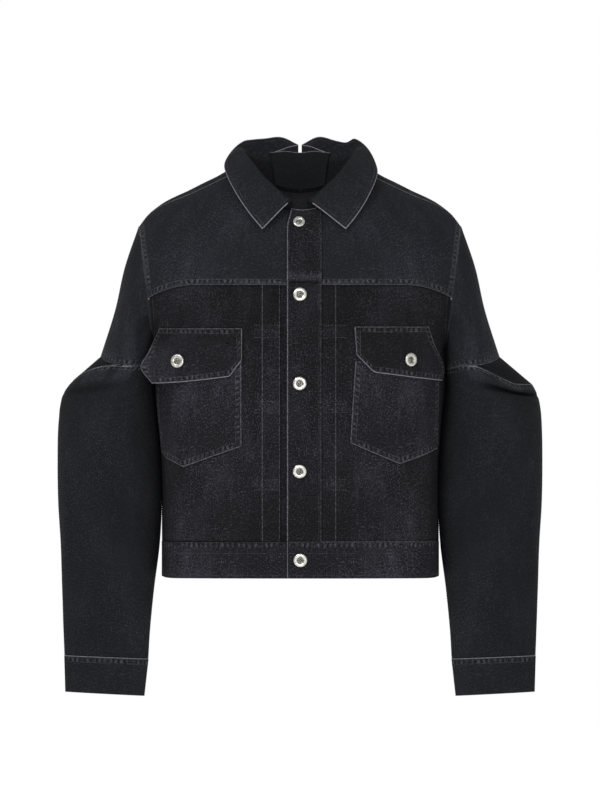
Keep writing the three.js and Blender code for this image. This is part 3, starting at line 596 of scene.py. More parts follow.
def back_body_place(across, rise):
    side, share = back_share(across)
    level = body_point(side, 1, share, ARMHOLE["middle"])
    z = mix(WAIST_SEAM + SEAM_GAP / 2, yoke_seam_at(abs(level.x)) - SEAM_GAP / 2, rise)
    point = inset_edge(body_point(side, 1, share, z), 1, share)
    out = body_outward(point)
    below = smooth((UNDERARM["z"] - z) / 25)
    point = point + out * (FELL["height"] * below * smooth((FELL["width"] - point.y) / 3))
    return tuck_at_waist(point, out, rise), out


back = sew_panel("back_body", lines(500, 5, [11, -11]), lines(370, 5, [0]), back_body_place, "LR")

# Yokes and shoulders
# Shaped pieces over the chest, shoulders and upper back. They are felled to the panels below and to
# each other along the shoulder seam, with two rows of stitches in a band that has drawn up in puckers.
NECKLINE = {"half_width": 80, "y": -8, "depth": 70, "z": 24, "front_drop": 62, "back_drop": 32}
YOKE_TURN = {
    "x": (0, 50, 80, 126, 160, 197, 219, 233),
    "front": (38, 52, 63, 68, 72, 80, 86, 90),
    "back": (46, 60, 104, 108, 108, 104, 96, 90),
}
SHOULDER_SEAM = {
    "x": (80, 126, 160, 197, 219, 233),
    "y": (-8, -13, -14, -9, -2, 4),
    "z": (24, 2, -14, -29, -43, -60),
}
LAP_UNDER = {-1: 14.5, 1: 12}


def neck_point(side, direction):
    """Neckline: 0 at the centre front, 90 at the side, 180 at the centre back."""
    ahead = math.cos(math.radians(direction))
    drop = NECKLINE["front_drop"] * ahead ** 1.2 if ahead > 0 else NECKLINE["back_drop"] * (-ahead) ** 1.5
    x = side * NECKLINE["half_width"] * math.sin(math.radians(direction))
    return Vector((x, NECKLINE["y"] - NECKLINE["depth"] * ahead, NECKLINE["z"] - drop))


def yoke_top(side, face, distance):
    turn = math.radians(along(YOKE_TURN, "x", distance, "front" if face < 0 else "back"))
    if distance < NECKLINE["half_width"]:
        direction = math.degrees(math.asin(distance / NECKLINE["half_width"]))
        return neck_point(side, direction if face < 0 else 180 - direction), turn
    y = along(SHOULDER_SEAM, "x", distance, "y")
    return Vector((side * distance, y, along(SHOULDER_SEAM, "x", distance, "z"))), turn


def yoke_point(side, face, share, rise):
    level = body_point(side, face, share, ARMHOLE["middle"])
    bottom = body_point(side, face, share, yoke_seam_at(abs(level.x)))
    spread = SHOULDER_TIP["x"] / section_edge(side, face, ARMHOLE["middle"])[0]
    top, full = yoke_top(side, face, abs(bottom.x) * spread)
    turn = rise * full
    height = math.sin(turn) / math.sin(full)
    inward = (math.cos(turn) - math.cos(full)) / (1 - math.cos(full))
    return Vector((bottom.x * mix(1, spread, clamp(height, 0, 1)),
                   mix(top.y, bottom.y, inward), mix(bottom.z, top.z, height)))


YOKE_HIGH = 160
YOKE_SHADE_AND_WEAR = {"shoulder": 3, "armhole": 14, "wide": 200, "rubbed": 0.7, "seam": 9, "outer": 0.35, "inner": 1.3}


def front_yoke_shade_and_wear(across, rise, point):
    """Painted shade in a line along the shoulder seam, and rubbed paler over the felled seams of the armhole and
    the chest.
    """
    # The dark line at the shoulder is painted shade standing for the seam's groove.
    shoulder = math.exp(-((1 - rise) * YOKE_HIGH / YOKE_SHADE_AND_WEAR["shoulder"]) ** 2)
    armhole = YOKE_SHADE_AND_WEAR["rubbed"] * smooth((YOKE_SHADE_AND_WEAR["armhole"] - (1 - across) * YOKE_SHADE_AND_WEAR["wide"]) / 3)
    middle = smooth((110 - abs(point.x)) / 50)
    seam = mix(YOKE_SHADE_AND_WEAR["outer"], YOKE_SHADE_AND_WEAR["inner"], middle) * smooth((YOKE_SHADE_AND_WEAR["seam"] - rise * YOKE_HIGH) / 3)
    return shoulder - max(armhole, seam) * (1 - shoulder)


def front_yoke(side):
    start = share_at(side, -1, LAP_UNDER[side], YOKE_SEAM["z"])

    def place(across, rise):
        point = inset_edge(yoke_point(side, -1, mix(start, 1, across), rise), -1, across)
        point.z += SEAM_GAP / 2 if rise == 0 else 0
        point.y -= SEAM_GAP / 2 if rise == 1 else 0
        return point, body_outward(point)

    name = "right" if side < 0 else "left"
    return sew_panel(f"front_yoke_{name}", lines(230, 4, [-11]), lines(YOKE_HIGH, 4, [11, -1.5]), place,
                     "RB", {"R": 0.5, "B": 0.24}, kept=front_yoke_shade_and_wear, cloth=yoke_denim)


def back_yoke_place(across, rise):
    side, share = back_share(across)
    point = inset_edge(yoke_point(side, 1, share, rise), 1, share)
    point.z += SEAM_GAP / 2 if rise == 0 else 0
    point.y += SEAM_GAP / 2 if rise == 1 else 0
    return point, body_outward(point)


yokes = {-1: front_yoke(-1), 1: front_yoke(1)}
# Its inner face, seen inside the neck, wears the paler denim: painted light.
back_yoke = sew_panel("back_yoke", lines(500, 5, [11, -11]), lines(YOKE_HIGH, 4, [11, -3, -1]),
                      back_yoke_place, "LRB", {"L": 0.22, "R": 0.22, "B": 0.2, "T": 0.7},
                      cloth=yoke_denim, inside=inside_painted_light_denim)


def front_point(x, z):
    """A point of the front by its distance from the centre line and its height."""
    side = -1 if x < 0 else 1
    distance = abs(x)
    seam = yoke_seam_at(distance)
    if z <= seam:
        return body_point(side, -1, share_at(side, -1, distance, z), z)
    top, turn = yoke_top(side, -1, distance)
    height = clamp((z - seam) / (top.z - seam), 0, 1)
    rise = math.asin(height * math.sin(turn)) / turn
    point = yoke_point(side, -1, share_at(side, -1, distance, seam), rise)
    point.x = x
    return point


# Plackets
# Two doubled strips down the centre front: the one on the wearer's left laps over and carries the
# buttonholes, the other lies under it and carries the buttons.
PLACKET = {"right": -18.5, "left": 30.5}
UNDER_PLACKET = {"right": -33, "left": 20, "gap": 1.1}
PLACKET_TOP = 1.5
NARROWED = {"z": -66, "over": 34, "by": 6.5}
SEAM_UNDER = {"ridge": -134, "high": 5.5, "raised": 1.1, "below": -142, "half": 1.6, "sunk": 1.8}


def seam_under(z):
    """Where the yoke's seam runs under the placket: its ridge, and the dent below it."""
    return (math.exp(-((z - SEAM_UNDER["ridge"]) / SEAM_UNDER["high"]) ** 2),
            math.exp(-((z - SEAM_UNDER["below"]) / SEAM_UNDER["half"]) ** 2))


def front_strip(node, right, left, bottom, raised, worn):
    def place(across, rise):
        x = mix(right, left, across)
        top, _ = yoke_top(1 if x >= 0 else -1, -1, abs(x))
        z = mix(bottom, top.z - PLACKET_TOP, rise)
        narrowed = smooth((z - NARROWED["z"]) / NARROWED["over"]) * NARROWED["by"] if raised > 0 else 0
        point = front_point(mix(right + narrowed, left, across), z)
        out = body_outward(point)
        ridge, dent = seam_under(z) if raised > 0 else (0, 0)
        return point + out * (raised + SEAM_UNDER["raised"] * ridge - SEAM_UNDER["sunk"] * dent), out

    def kept(across, rise, point):
        # Painted shade in the dent below where the yoke's seam runs under the strip; lighter on the seam's ridge,
        # and darker all over.
        ridge, dent = seam_under(point.z)
        return 0.48 - 1.05 * ridge + 0.8 * dent

    return sew_panel(node, lines(left - right, 3.4, [2.5, -2.5]), lines(490, 4, [-1, -104.5]), place, "",
                     worn, kept=kept, thick=DOUBLED)


placket = front_strip("front_placket", PLACKET["right"], PLACKET["left"], WAIST_SEAM + SEAM_GAP,
                      LAP_GAP + DOUBLED, {"L": 0.5, "R": 0.2, "T": 0.6})
front_strip("under_placket", UNDER_PLACKET["right"], UNDER_PLACKET["left"], HEM,
            -CLOTH - UNDER_PLACKET["gap"], {"L": 0.3})

# Waistband
# A doubled band sewn over the lower edges of the fronts and the back, in three pieces. It ends at
# the placket, where the left piece laps over the right one and takes the lowest button.


HEM_CORNER = {"raised": 3.5, "over": 0.16}


def shade_under_blouse(across, rise, point):
    """The right front hangs over its waistband, so the band's top edge lies in its shade."""
    # Painted shade along the band's top edge.
    return math.exp(-((1 - rise) * 37 / 3) ** 2)


def waistband_place(face, column):
    def place(across, rise):
        z = mix(HEM, WAIST_SEAM - SEAM_GAP / 2, rise)
        side, share = column(across, z)
        z += HEM_CORNER["raised"] * (1 - rise) * math.exp(-((1 - share) / HEM_CORNER["over"]) ** 2)
        point = inset_edge(body_point(side, face, share, z), face, share)
        out = body_outward(point)
        return point + out * CLOTH, out
    return place


def band_right(across, z):
    return -1, mix(share_at(-1, -1, SEAM_GAP - PLACKET["right"], z), 1, across)


def band_left(across, z):
    lap = 0.09
    if across < lap:
        return -1, share_at(-1, -1, -PLACKET["right"] * (1 - across / lap), z)
    return 1, (across - lap) / (1 - lap)


waistbands = {
    -1: sew_panel("waistband_front_right", lines(205, 4, [2]), lines(54, 3.4, [-2, -17]),
                  waistband_place(-1, band_right), "T", {"B": 0.15}, kept=shade_under_blouse,
                  thick=DOUBLED),
    1: sew_panel("waistband_front_left", lines(222, 4, [2]), lines(54, 3.4, [-2, -17]),
                 waistband_place(-1, band_left), "T", {"T": 0.16, "B": 0.15, "L": 0.5}, thick=DOUBLED),
    0: sew_panel("waistband_back", lines(470, 5), lines(54, 3.4, [-2, -17]),
                 waistband_place(1, lambda across, z: back_share(across)), "T", {"T": 0.16, "B": 0.15},
                 thick=DOUBLED),
}

# Chest pockets and flaps
# Patch pockets sewn on with two rows round their pointed lower edges, and a flap over each, turned
# out at its seam and held down by a button. The right flap lifts off the body at its outer end.
FLAPS = {
    -1: {"top": -208.5,
         "sides": {"z": (-288, -265, -242, -208), "inner": (83, 83, 83, 83.5), "outer": (210.5, 226.5, 215.5, 202)},
         "bottom": {"x": (83, 110, 166, 210.5), "z": (-254, -278, -283.5, -288)}},
    1: {"top": -206,
        "sides": {"z": (-285, -264, -235, -206), "inner": (82, 81.5, 80, 78.5),
                  "outer": (201.5, 204.5, 193, 185)},
        "bottom": {"x": (82, 104, 150, 201.5), "z": (-246, -272, -278, -284)}},
}
POCKETS = {
    -1: {"top": -256,
         "sides": {"z": (-409, -351, -322, -256), "inner": (84, 84.5, 84.5, 84.5),
                   "outer": (196.5, 202, 205, 206)},
         "bottom": {"x": (84, 168, 192, 196.5), "z": (-379, -409, -395, -386)}},
    1: {"top": -256,
        "sides": {"z": (-405, -374, -330, -256), "inner": (72, 72.5, 75, 80),
                  "outer": (197.5, 198, 198.5, 200)},
        "bottom": {"x": (72, 143.5, 180, 197.5), "z": (-374, -404.5, -391, -382)}},
}
# Painted shade on the flaps: how dark each is at its bottom, darkening to 0.6 towards its top.
FLAP_SHADE = {-1: 0.12, 1: 0.38}
FLAP_STAND = {"from": -208, "to": -246, "off": 3.4, "rim": 4.2}
FLAP_FREE = {"from": 163, "slope": 0.33, "top": -208, "bottom": -238}


def straight(table, key, at, column):
    keys = table[key]
    first = 0
    while first < len(keys) - 2 and at > keys[first + 1]:
        first += 1
    t = clamp((at - keys[first]) / (keys[first + 1] - keys[first]), 0, 1)
    return mix(table[column][first], table[column][first + 1], t)


def distance_on(side, shape, across, z):
    inner = along(shape["sides"], "z", z, "inner")
    outer = along(shape["sides"], "z", z, "outer")
    if outer > section_edge(side, -1, z)[0] - 1:
        return mix(inner, outer, across)
    share = mix(share_at(side, -1, inner, z), share_at(side, -1, outer, z), across)
    return abs(body_point(side, -1, share, z).x)


def level_on(side, shape, across, rise):
    lowest = shape["sides"]["z"][0]
    bottom = straight(shape["bottom"], "x", distance_on(side, shape, across, lowest), "z")
    return mix(bottom, shape["top"], rise)


def flap_point(side, distance, z):
    lying = front_point(side * min(distance, section_edge(side, -1, z)[0]), z)
    past = distance - FLAP_FREE["from"]
    if side > 0 or past <= 0:
        return lying
    free = smooth((FLAP_FREE["top"] - z) / (FLAP_FREE["top"] - FLAP_FREE["bottom"]))
    apart = front_point(side * FLAP_FREE["from"], z)
    apart.x = side * distance
    apart.y += FLAP_FREE["slope"] * past
    return lying.lerp(apart, free)


def patch_pocket(side, name):
    shape = POCKETS[side]

    def place(across, rise):
        z = level_on(side, shape, across, rise)
        point = front_point(side * distance_on(side, shape, across, z), z)
        out = body_outward(point)
        return point + out * (LAP_GAP + CLOTH), out

    return sew_panel(f"pocket_{name}", lines(118, 3.6, [2.5, -2.5]), lines(140, 3.6, [2.5]), place,
                     "LRB", {"L": 0.35, "R": 0.35, "B": 0.4})


def pocket_flap(side, name):
    shape = FLAPS[side]

    def place(across, rise):
        z = level_on(side, shape, across, rise)
        stand = smooth((FLAP_STAND["from"] - z) / (FLAP_STAND["from"] - FLAP_STAND["to"]))
        raised = mix(LAP_GAP, FLAP_STAND["off"], stand)
        raised += (1 - rise) * (FLAP_STAND["rim"] - FLAP_STAND["off"]) + CLOTH
        point = flap_point(side, distance_on(side, shape, across, z), z)
        out = body_outward(point)
        return point + out * raised, out

    # The flap is darkened with painted shade, most towards its top.
    return sew_panel(f"flap_{name}", lines(128, 3.6, [2.5, -2.5]), lines(75, 3, [2.5, -8]), place,
                     "LRBT", {"L": 0.45, "R": 0.45, "B": 0.7, "T": 0.3},
                     kept=lambda across, rise, point: mix(FLAP_SHADE[side], 0.6, smooth((point.z + 242) / 22)))


pockets = {side: patch_pocket(side, name) for side, name in ((-1, "right"), (1, "left"))}
flaps = {side: pocket_flap(side, name) for side, name in ((-1, "right"), (1, "left"))}

# Sleeves
# Each sleeve is cut as an upper and a lower stretch, front and back halves of each sewn together
# along the outside and the underarm. The lower stretch balloons from a rim that stands off the
# upper one at the elbow, and a gusset fills the opening between them.
RING_COLUMNS = ("outer_x", "outer_z", "inner_x", "inner_z", "deepest", "front", "back")
UPPER_SLEEVE = {
    "at": (0, 0.33, 0.67, 1),
    "outer_x": (233.6, 254, 268, 289), "outer_z": (-60, -120, -182, -249),
    "inner_x": (210.8, 210.6, 210.5, 210.6), "inner_z": (-235, -247, -257, -268),
    "deepest": (0.4, 0.43, 0.47, 0.5), "front": (58, 65, 71, 76), "back": (72, 80, 87, 92),
}
ELBOWS = {
    "right": {"rim": {"outer_x": 320.5, "outer_z": -276.3, "inner_x": 210.6, "inner_z": -268,
                      "deepest": 0.5, "front": 78, "back": 98},
              "arch": 14, "round": 5, "front_from": 90, "front_to": 45, "gusset": 81.8},
    "left": {"rim": {"outer_x": 336, "outer_z": -288.7, "inner_x": 210.6, "inner_z": -268,
                     "deepest": 0.5, "front": 78, "back": 98},
             "arch": -6, "round": 1.5, "front_from": 88, "front_to": 50, "gusset": 81.8},
}
ELBOW_BACK = {"from": -140, "to": -105, "gusset": -130.9}
GUSSET_SINK = 8
GUSSET_EDGE = 50
HEM_DIP = {"by": 6, "over": 116}
SLEEVE_LONG = 400
ELBOW_FOLD = {"down": 17.5, "half": 3.0, "round_at": 52, "round": 44, "sunk": 9, "right": 0.4, "left": 1.0}
ELBOW_BAND = {"wide": 15, "to": 118, "light": 1.25}
ELBOW_RIM = {"pale": 0.62, "dim": 0.12, "from": 92, "over": 16}
RIM_TUCKED = {"in": 1.9, "up": 1.2}
HEM_RUBBED = {"from": 0.86, "to": 78, "by": 0.8}
LOWER_SLEEVE = {
    "at": (0.06, 0.16, 0.3, 0.45, 0.6, 0.75, 0.9, 1),
    "outer_x": (346, 350.5, 351.5, 350.5, 347, 345, 343, 341.5),
    "outer_z": (-312, -350, -405, -462, -520, -582, -642, -682),
    "inner_x": (210.8, 205.8, 201.3, 200.4, 203.6, 211.5, 217.5, 220),
    "inner_z": (-296, -345, -402, -462, -522, -584, -645, -687),
    "deepest": (0.5,) * 8,
    "front": (76, 72, 66, 58, 51, 43, 34, 27), "back": (96, 88, 79, 70, 61, 52, 41, 33),
}
CUFF = {
    "at": (0, 1), "outer_x": (342, 340.5), "outer_z": (-682, -735), "inner_x": (219.5, 225.5),
    "inner_z": (-687, -741), "deepest": (0.5, 0.5), "front": (28, 27), "back": (34, 32),
}
CREASE_FADE_SLEEVE = {"top": 0.12, "bottom": 0.1}

# Creases: height, direction round from the outer side to the front, half length, half width, lean
# round it for each step down, and height of the ridge
SLEEVE_CREASES = {
    "right": (
        (-330, 75, 34, 34, 0, -5.0), (-420, -70, 70, 26, 0, -5.0), (-560, 60, 60, 24, 0, -3.0),
        (-640, -80, 26, 40, 0, 4.0), (-215, 100, 26, 30, 0, -4.0),
        (-352, 112, 22, 9, 0.25, 2.0), (-398, 42, 40, 9, -0.12, -1.8), (-470, 120, 46, 8, 0.06, 1.6),
        (-505, 30, 52, 9, 0.05, 1.8), (-612, 96, 30, 9, 0.1, -1.8), (-655, 50, 18, 12, -0.3, 1.8),
        (-662, 120, 16, 10, 0.3, -1.6), (-318, 20, 12, 16, 0.5, 3.0),
        (-120, 96, 44, 14, -0.25, 3.4), (-190, 118, 34, 13, 0.3, -3.6), (-205, 78, 30, 12, -0.3, 3.2),
        (-380, 75, 70, 15, 0.12, 3.0), (-440, 104, 60, 12, -0.08, -3.0), (-540, 84, 70, 14, 0.05, 3.0),
        (-630, 70, 40, 13, -0.1, -2.6), (-180, 60, 34, 12, -0.2, 1.6), (-236, 128, 16, 10, 0.5, 1.8),
        (-150, 112, 20, 12, 0.4, -1.6), (-300, -60, 26, 16, 0.2, 2.6), (-500, -110, 60, 12, -0.1, 2.4),
    ),
    "left": (
        (-318, 60, 22, 50, 0, 6.0), (-350, 85, 26, 34, 0, -5.0), (-450, -80, 70, 26, 0, -5.0),
        (-600, 70, 50, 24, 0, -3.0), (-215, 100, 26, 30, 0, -4.0),
        (-328, 88, 16, 14, 0.6, -4.0), (-130, 92, 40, 14, 0.3, 3.4),
        (-196, 112, 34, 13, -0.3, -3.6), (-210, 74, 30, 12, 0.3, 3.2), (-390, 96, 70, 14, -0.1, 3.0),
        (-450, 66, 60, 13, 0.08, -3.0), (-545, 92, 70, 14, -0.06, 3.0), (-636, 78, 36, 13, 0.1, -2.6),
        (-372, 104, 26, 9, 0.2, 1.8), (-415, 38, 46, 9, -0.1, -1.8), (-480, 62, 56, 8, 0.05, 1.4),
        (-520, 118, 40, 8, 0.08, 1.6), (-630, 44, 26, 10, 0.16, -1.8), (-652, 92, 16, 12, 0.3, 1.8),
        (-665, 126, 16, 10, -0.3, -1.4), (-176, 64, 30, 12, -0.3, 1.5), (-240, 122, 16, 10, 0.5, 1.8),
        (-148, 108, 22, 12, 0.4, -1.8), (-310, -70, 26, 16, 0.2, 2.6), (-520, -100, 60, 12, -0.1, 2.4),
    ),
}


def section_at(table, at):
    return {column: along(table, "at", at, column) for column in RING_COLUMNS}


def ring_point(section, angle):
    """A point and the outward direction on a sleeve section, by the angle from the outer side."""
    outer = Vector((section["outer_x"], SIDE_SEAM_Y, section["outer_z"]))
    inner = Vector((section["inner_x"], SIDE_SEAM_Y, section["inner_z"]))
    middle = inner.lerp(outer, section["deepest"])
    reach = (outer if math.cos(angle) > 0 else inner) - middle
    depth = section["front"] if math.sin(angle) > 0 else section["back"]
    point = middle + reach * abs(math.cos(angle))
    point.y -= depth * math.sin(angle)
    direction = reach.normalized() * (abs(math.cos(angle)) / reach.length)
    direction.y -= math.sin(angle) / depth
    return point, direction.normalized()


def elbow_opening(name, angle):
    elbow = ELBOWS[name]
    turn = math.degrees(angle)
    front = smooth((elbow["front_from"] - turn) / (elbow["front_from"] - elbow["front_to"]))
    back = smooth((turn - ELBOW_BACK["from"]) / (ELBOW_BACK["to"] - ELBOW_BACK["from"]))
    return front * back


def hem_dip(angle):
    return HEM_DIP["by"] * math.sin(math.pi * clamp(math.degrees(angle) / HEM_DIP["over"], 0, 1))


def elbow_hem_point(angle):
    point, out = ring_point(section_at(UPPER_SLEEVE, 1), angle)
    point.z -= hem_dip(angle)
    return point, out


def elbow_rim_point(name, angle):
    point, out = elbow_hem_point(angle)
    rim, rim_out = ring_point(ELBOWS[name]["rim"], angle)
    rim.z += ELBOWS[name]["arch"] * max(math.sin(angle), 0) ** 2
    share = elbow_opening(name, angle)
    return point.lerp(rim, share), out.lerp(rim_out, share).normalized()


def sleeve_crease(name, angle, z):
    height = 0
    turn = math.degrees(angle)
    for level, round_at, long, wide, lean, high in SLEEVE_CREASES[name]:
        up = (z - level) / long
        around = (turn - round_at - lean * (z - level)) / wide
        if abs(up) < 2.5 and abs(around) < 2.5:
            height += high * math.exp(-up * up - around * around)
    return height


def elbow_fold(name, angle, down):
    """The fold under the band that finishes the rim of the lower sleeve: 1 where it is deepest."""
    below = (down * SLEEVE_LONG - ELBOW_FOLD["down"]) / ELBOW_FOLD["half"]
    aside = (math.degrees(angle) - ELBOW_FOLD["round_at"]) / ELBOW_FOLD["round"]
    return ELBOW_FOLD[name] * math.exp(-below * below - aside ** 4)


def sleeve_point(name, stretch, angle, down):
    start = LOWER_SLEEVE["at"][0]
    sunk = 0 if stretch == "upper" else ELBOW_FOLD["sunk"] * elbow_fold(name, angle, down)
    if stretch == "upper":
        point, out = ring_point(section_at(UPPER_SLEEVE, down), angle)
        point.z -= hem_dip(angle) * smooth(2 * down - 1)
    elif down < start:
        rim, rim_out = elbow_rim_point(name, angle)
        point, out = ring_point(section_at(LOWER_SLEEVE, start), angle)
        share = down / start
        bulge = ELBOWS[name]["round"] * 4 * share * (1 - share) * max(math.cos(angle), 0)
        point = rim.lerp(point, share) + out * bulge
        out = rim_out.lerp(out, down / start).normalized()
    else:
        point, out = ring_point(section_at(LOWER_SLEEVE, down), angle)
    inside = smooth(down / CREASE_FADE_SLEEVE["top"]) * smooth((1 - down) / CREASE_FADE_SLEEVE["bottom"])
    if stretch == "lower" and down == 0:
        shut = 1 - elbow_opening(name, angle)
        sunk += RIM_TUCKED["in"] * shut
        point.z += RIM_TUCKED["up"] * shut
    return point + out * (inside * sleeve_crease(name, angle, point.z) - sunk), out


def sleeve_piece(node, side, start, end, across, down, ring_at, felled, worn, rubbed=None, kept=None,
                 cloth=sleeve_denim):
    trim = SEAM_GAP / 2

    def place(share, fall):
        point, out = ring_at(math.radians(mix(start, end, share)), fall)
        if fall in (0, 1):
            point.z += trim if fall == 1 else -trim
        if share in (0, 1):
            point.y += trim if start + end < 0 else -trim
        point.x *= side
        out.x *= side
        return point, out

    return sew_panel(node, across, down, place, felled, worn, rubbed, kept, cloth=cloth)


def gusset_at(name, angle, down):
    hem, hem_out = elbow_hem_point(angle)
    rim, rim_out = elbow_rim_point(name, angle)
    out = hem_out.lerp(rim_out, down).normalized()
    sunk = GUSSET_SINK * elbow_opening(name, angle) * 4 * down * (1 - down)
    sunk *= smooth(abs(math.degrees(angle)) / GUSSET_EDGE)
    return hem.lerp(rim, down) - out * sunk, out


def elbow_shade_and_wear(name, share, down):
    """The band at the elbow's rim is rubbed in patches, and the fold under it is darkened with painted shadow."""
    turn = share * 180
    from_rim = down * SLEEVE_LONG
    fold = elbow_fold(name, math.radians(turn), down)
    patches = 0.6 + 0.4 * math.sin(turn * 0.23) * math.sin(turn * 0.09 + 1)
    band = smooth(from_rim / 3) * smooth((ELBOW_BAND["wide"] - from_rim) / 4)
    band *= patches * smooth((ELBOW_BAND["to"] - turn) / 20)
    # Painted shadow in the fold, and the band rubbed paler.
    return min(fold * 1.2, 1.2) - ELBOW_BAND["light"] * band * (1 - fold)


def elbow_rim(share, down):
    """The rim is rubbed pale where the elbow is open, and hardly where the hem lies close over it."""
    shut = smooth((share * 180 - ELBOW_RIM["from"]) / ELBOW_RIM["over"])
    return down * SLEEVE_LONG, mix(ELBOW_RIM["pale"], ELBOW_RIM["dim"], shut)


def hem_dye(share, down):
    outer = smooth((HEM_RUBBED["to"] - share * 180) / 30)
    return -HEM_RUBBED["by"] * outer * smooth((down - HEM_RUBBED["from"]) / 0.1)


def sleeve(side, name):
    made = {}
    for half, end in (("front", 180), ("back", -180)):
        front = half == "front"
        made["upper", half] = sleeve_piece(
            f"upper_sleeve_{half}_{name}", side, 0, end, lines(235, 4.6, [4, -4]), lines(190, 4.4, [3, -3]),
            lambda angle, down: sleeve_point(name, "upper", angle, down), "T" if front else "LT",
            {"T": 0.3, "B": 0.2}, None, lambda share, down, point: hem_dye(share, down) if front else 0,
            yoke_denim)
        made["lower", half] = sleeve_piece(
            f"lower_sleeve_{half}_{name}", side, 0, end, lines(235, 4.6, [4, -4]),
            lines(SLEEVE_LONG, 4.4, [1.5, 14.5, 17.5, 20.5, -3]),
            lambda angle, down: sleeve_point(name, "lower", angle, down),
            "B" if front else "LB", {} if front else {"B": 0.4},
            (lambda share, down, point: elbow_rim(share, down)) if front else None,
            lambda share, down, point: elbow_shade_and_wear(name, share, down) if front else 0)
    # The gusset is darkened with painted shade, more towards the elbow's rim.
    sleeve_piece(f"elbow_gusset_{name}", side, ELBOWS[name]["gusset"], ELBOW_BACK["gusset"],
                 lines(270, 5), lines(45, 4), lambda angle, down: gusset_at(name, angle, down), "", {},
                 None, lambda share, down, point: mix(0.3, 0.9, down))
    return made


sleeves = {side: sleeve(side, name) for side, name in ((-1, "right"), (1, "left"))}

# Cuffs
# A doubled band closed round each wrist and sewn over the end of the lower sleeve, stiff enough to
# keep a flat oval.


def cuff_band(side, name):
    def place(share, down):
        turn = share * 2 * math.pi
        angle = turn - 2 * math.pi if turn > math.pi else turn
        point, out = ring_point(section_at(CUFF, down), angle)
        point.z -= SEAM_GAP / 2 if down == 0 else 0
        point.x *= side
        out.x *= side
        return point, out

    return sew_panel(f"cuff_{name}", lines(270, 4), lines(54, 3, [3, 11, -3]), place, "B",
                     {"B": 0.65, "T": 0.15}, kept=lambda share, down, point: -0.4, thick=DOUBLED,
                     cloth=sleeve_denim, tube=True)


cuffs = {side: cuff_band(side, name) for side, name in ((-1, "right"), (1, "left"))}

# Collar
# A pointed collar in two halves that meet at a slit at the centre back, where an inverted pleat with
# a panel behind it takes up the turn. It stands up from the neckline and falls over on itself.
COLLAR_WALL = 2.2
COLLAR_RAISE = 1.6
COLLAR_UNDER = 90
COLLAR = {
    "at": (0, 0.12, 0.25, 0.38, 0.5, 0.63, 0.76, 0.82, 0.88, 0.94, 1),
    "neck": (8, 24, 45, 68, 90, 110, 130, 141, 152, 165, 177.9),
    "roll_x": (15, 33, 55, 72, 82, 82, 69, 56, 42, 22, 2.9),
    "roll_y": (-89, -81, -62, -30, 2, 32, 58, 65, 70, 72, 73),
    "roll_z": (-26, -9, 13, 35, 49, 50, 41, 38, 36, 34.5, 31),
    "edge_x": (54.4, 73.5, 91.5, 105.5, 109, 98, 82, 67.5, 51, 27, 2.9),
    "left_out": (12, 11, 9, 6, 0.5, 0, -2, 0, 0, 0, 0),
    "edge_y": (-106, -93, -72, -38, 6, 44, 72, 79, 84, 87, 87),
    "edge_z": (-65, -42, -15, 12, 30, 50, 64, 66.5, 68, 70, 59),
    "left_up": (0, 0, 0, 0, 0, 3, 3.5, -4.5, -3, 0.5, 0),
}
COLLAR_SHADE = {"stand": 0.8, "turned": 0.55, "turned_at": 0.53, "turned_over": 0.07}
PLY = {"from": 0.905, "low": 0.5, "fold": 0.69, "slit": 0.985, "off": 2.5, "wall": 0.9}
UNDERLAY = {"from": 0.88, "ends": 0.66, "top": 0.75, "inside": 3.3}


def collar_point(side, turn, across):
    direction = along(COLLAR, "at", turn, "neck")
    neck = neck_point(1, direction)
    out = body_outward(neck)
    if across < 0:
        ahead = neck_point(1, direction + 1) - neck_point(1, direction - 1)
        neck = neck + ahead.cross(out).normalized() * (across * COLLAR_UNDER)
    neck = neck + out * COLLAR_RAISE
    profile = {"at": (0, 0.5, 1)}
    for axis, name in enumerate("xyz"):
        roll = along(COLLAR, "at", turn, f"roll_{name}")
        profile[name] = [neck[axis], roll, along(COLLAR, "at", turn, f"edge_{name}")]
    if side > 0:
        profile["x"][2] += along(COLLAR, "at", turn, "left_out")
        profile["z"][2] += along(COLLAR, "at", turn, "left_up")
    x, y, z = (along(profile, "at", across, name) for name in "xyz")
    return Vector((side * x, y, z))


def collar_direction(side, turn, across):
    """From the face that shows, through the cloth."""
    step = 0.004
    across = max(across, 0)
    ahead = collar_point(side, min(turn + step, 1), across) - collar_point(side, max(turn - step, 0), across)
    up = collar_point(side, turn, min(across + step, 1)) - collar_point(side, turn, max(across - step, 0))
    return ahead.cross(up).normalized() * side


def collar_half(side, name):
    def place(turn, across):
        direction = collar_direction(side, turn, across)
        return collar_point(side, turn, across) - direction * (COLLAR_WALL / 2), -direction

    def kept(turn, across, point):
        # Painted shade on the stand, in a band where the collar turns at the side, and towards the centre back.
        stand = COLLAR_SHADE["stand"] * (1 - smooth((across - 0.42) / 0.12))
        aside = (turn - COLLAR_SHADE["turned_at"]) / COLLAR_SHADE["turned_over"]
        return max(stand, COLLAR_SHADE["turned"] * math.exp(-aside * aside), 0.3 * smooth((turn - 0.6) / 0.1))

    edges = lines(100, 3.2, [-1, -5.5])

    return sew_panel(f"collar_{name}", lines(300, 4, [2.5, -2.5]), [-0.05] + edges, place,
                     "", {"L": 0.7, "T": 0.66, "fall": 0.52}, kept=kept, thick=COLLAR_WALL,
                     cloth=yoke_denim)


def underlay_place(share, rise):
    side = -1 if share < 0.5 else 1
    turn = mix(UNDERLAY["from"], 1, 1 - abs(2 * share - 1))
    across = max(rise, 0) * mix(UNDERLAY["ends"], UNDERLAY["top"], (1 - abs(2 * share - 1)) ** 1.8)
    direction = collar_direction(side, turn, across)
    point = collar_point(side, turn, across) - direction * (COLLAR_WALL / 2 + UNDERLAY["inside"])
    point.z += min(rise, 0) * COLLAR_UNDER
    return point, -direction


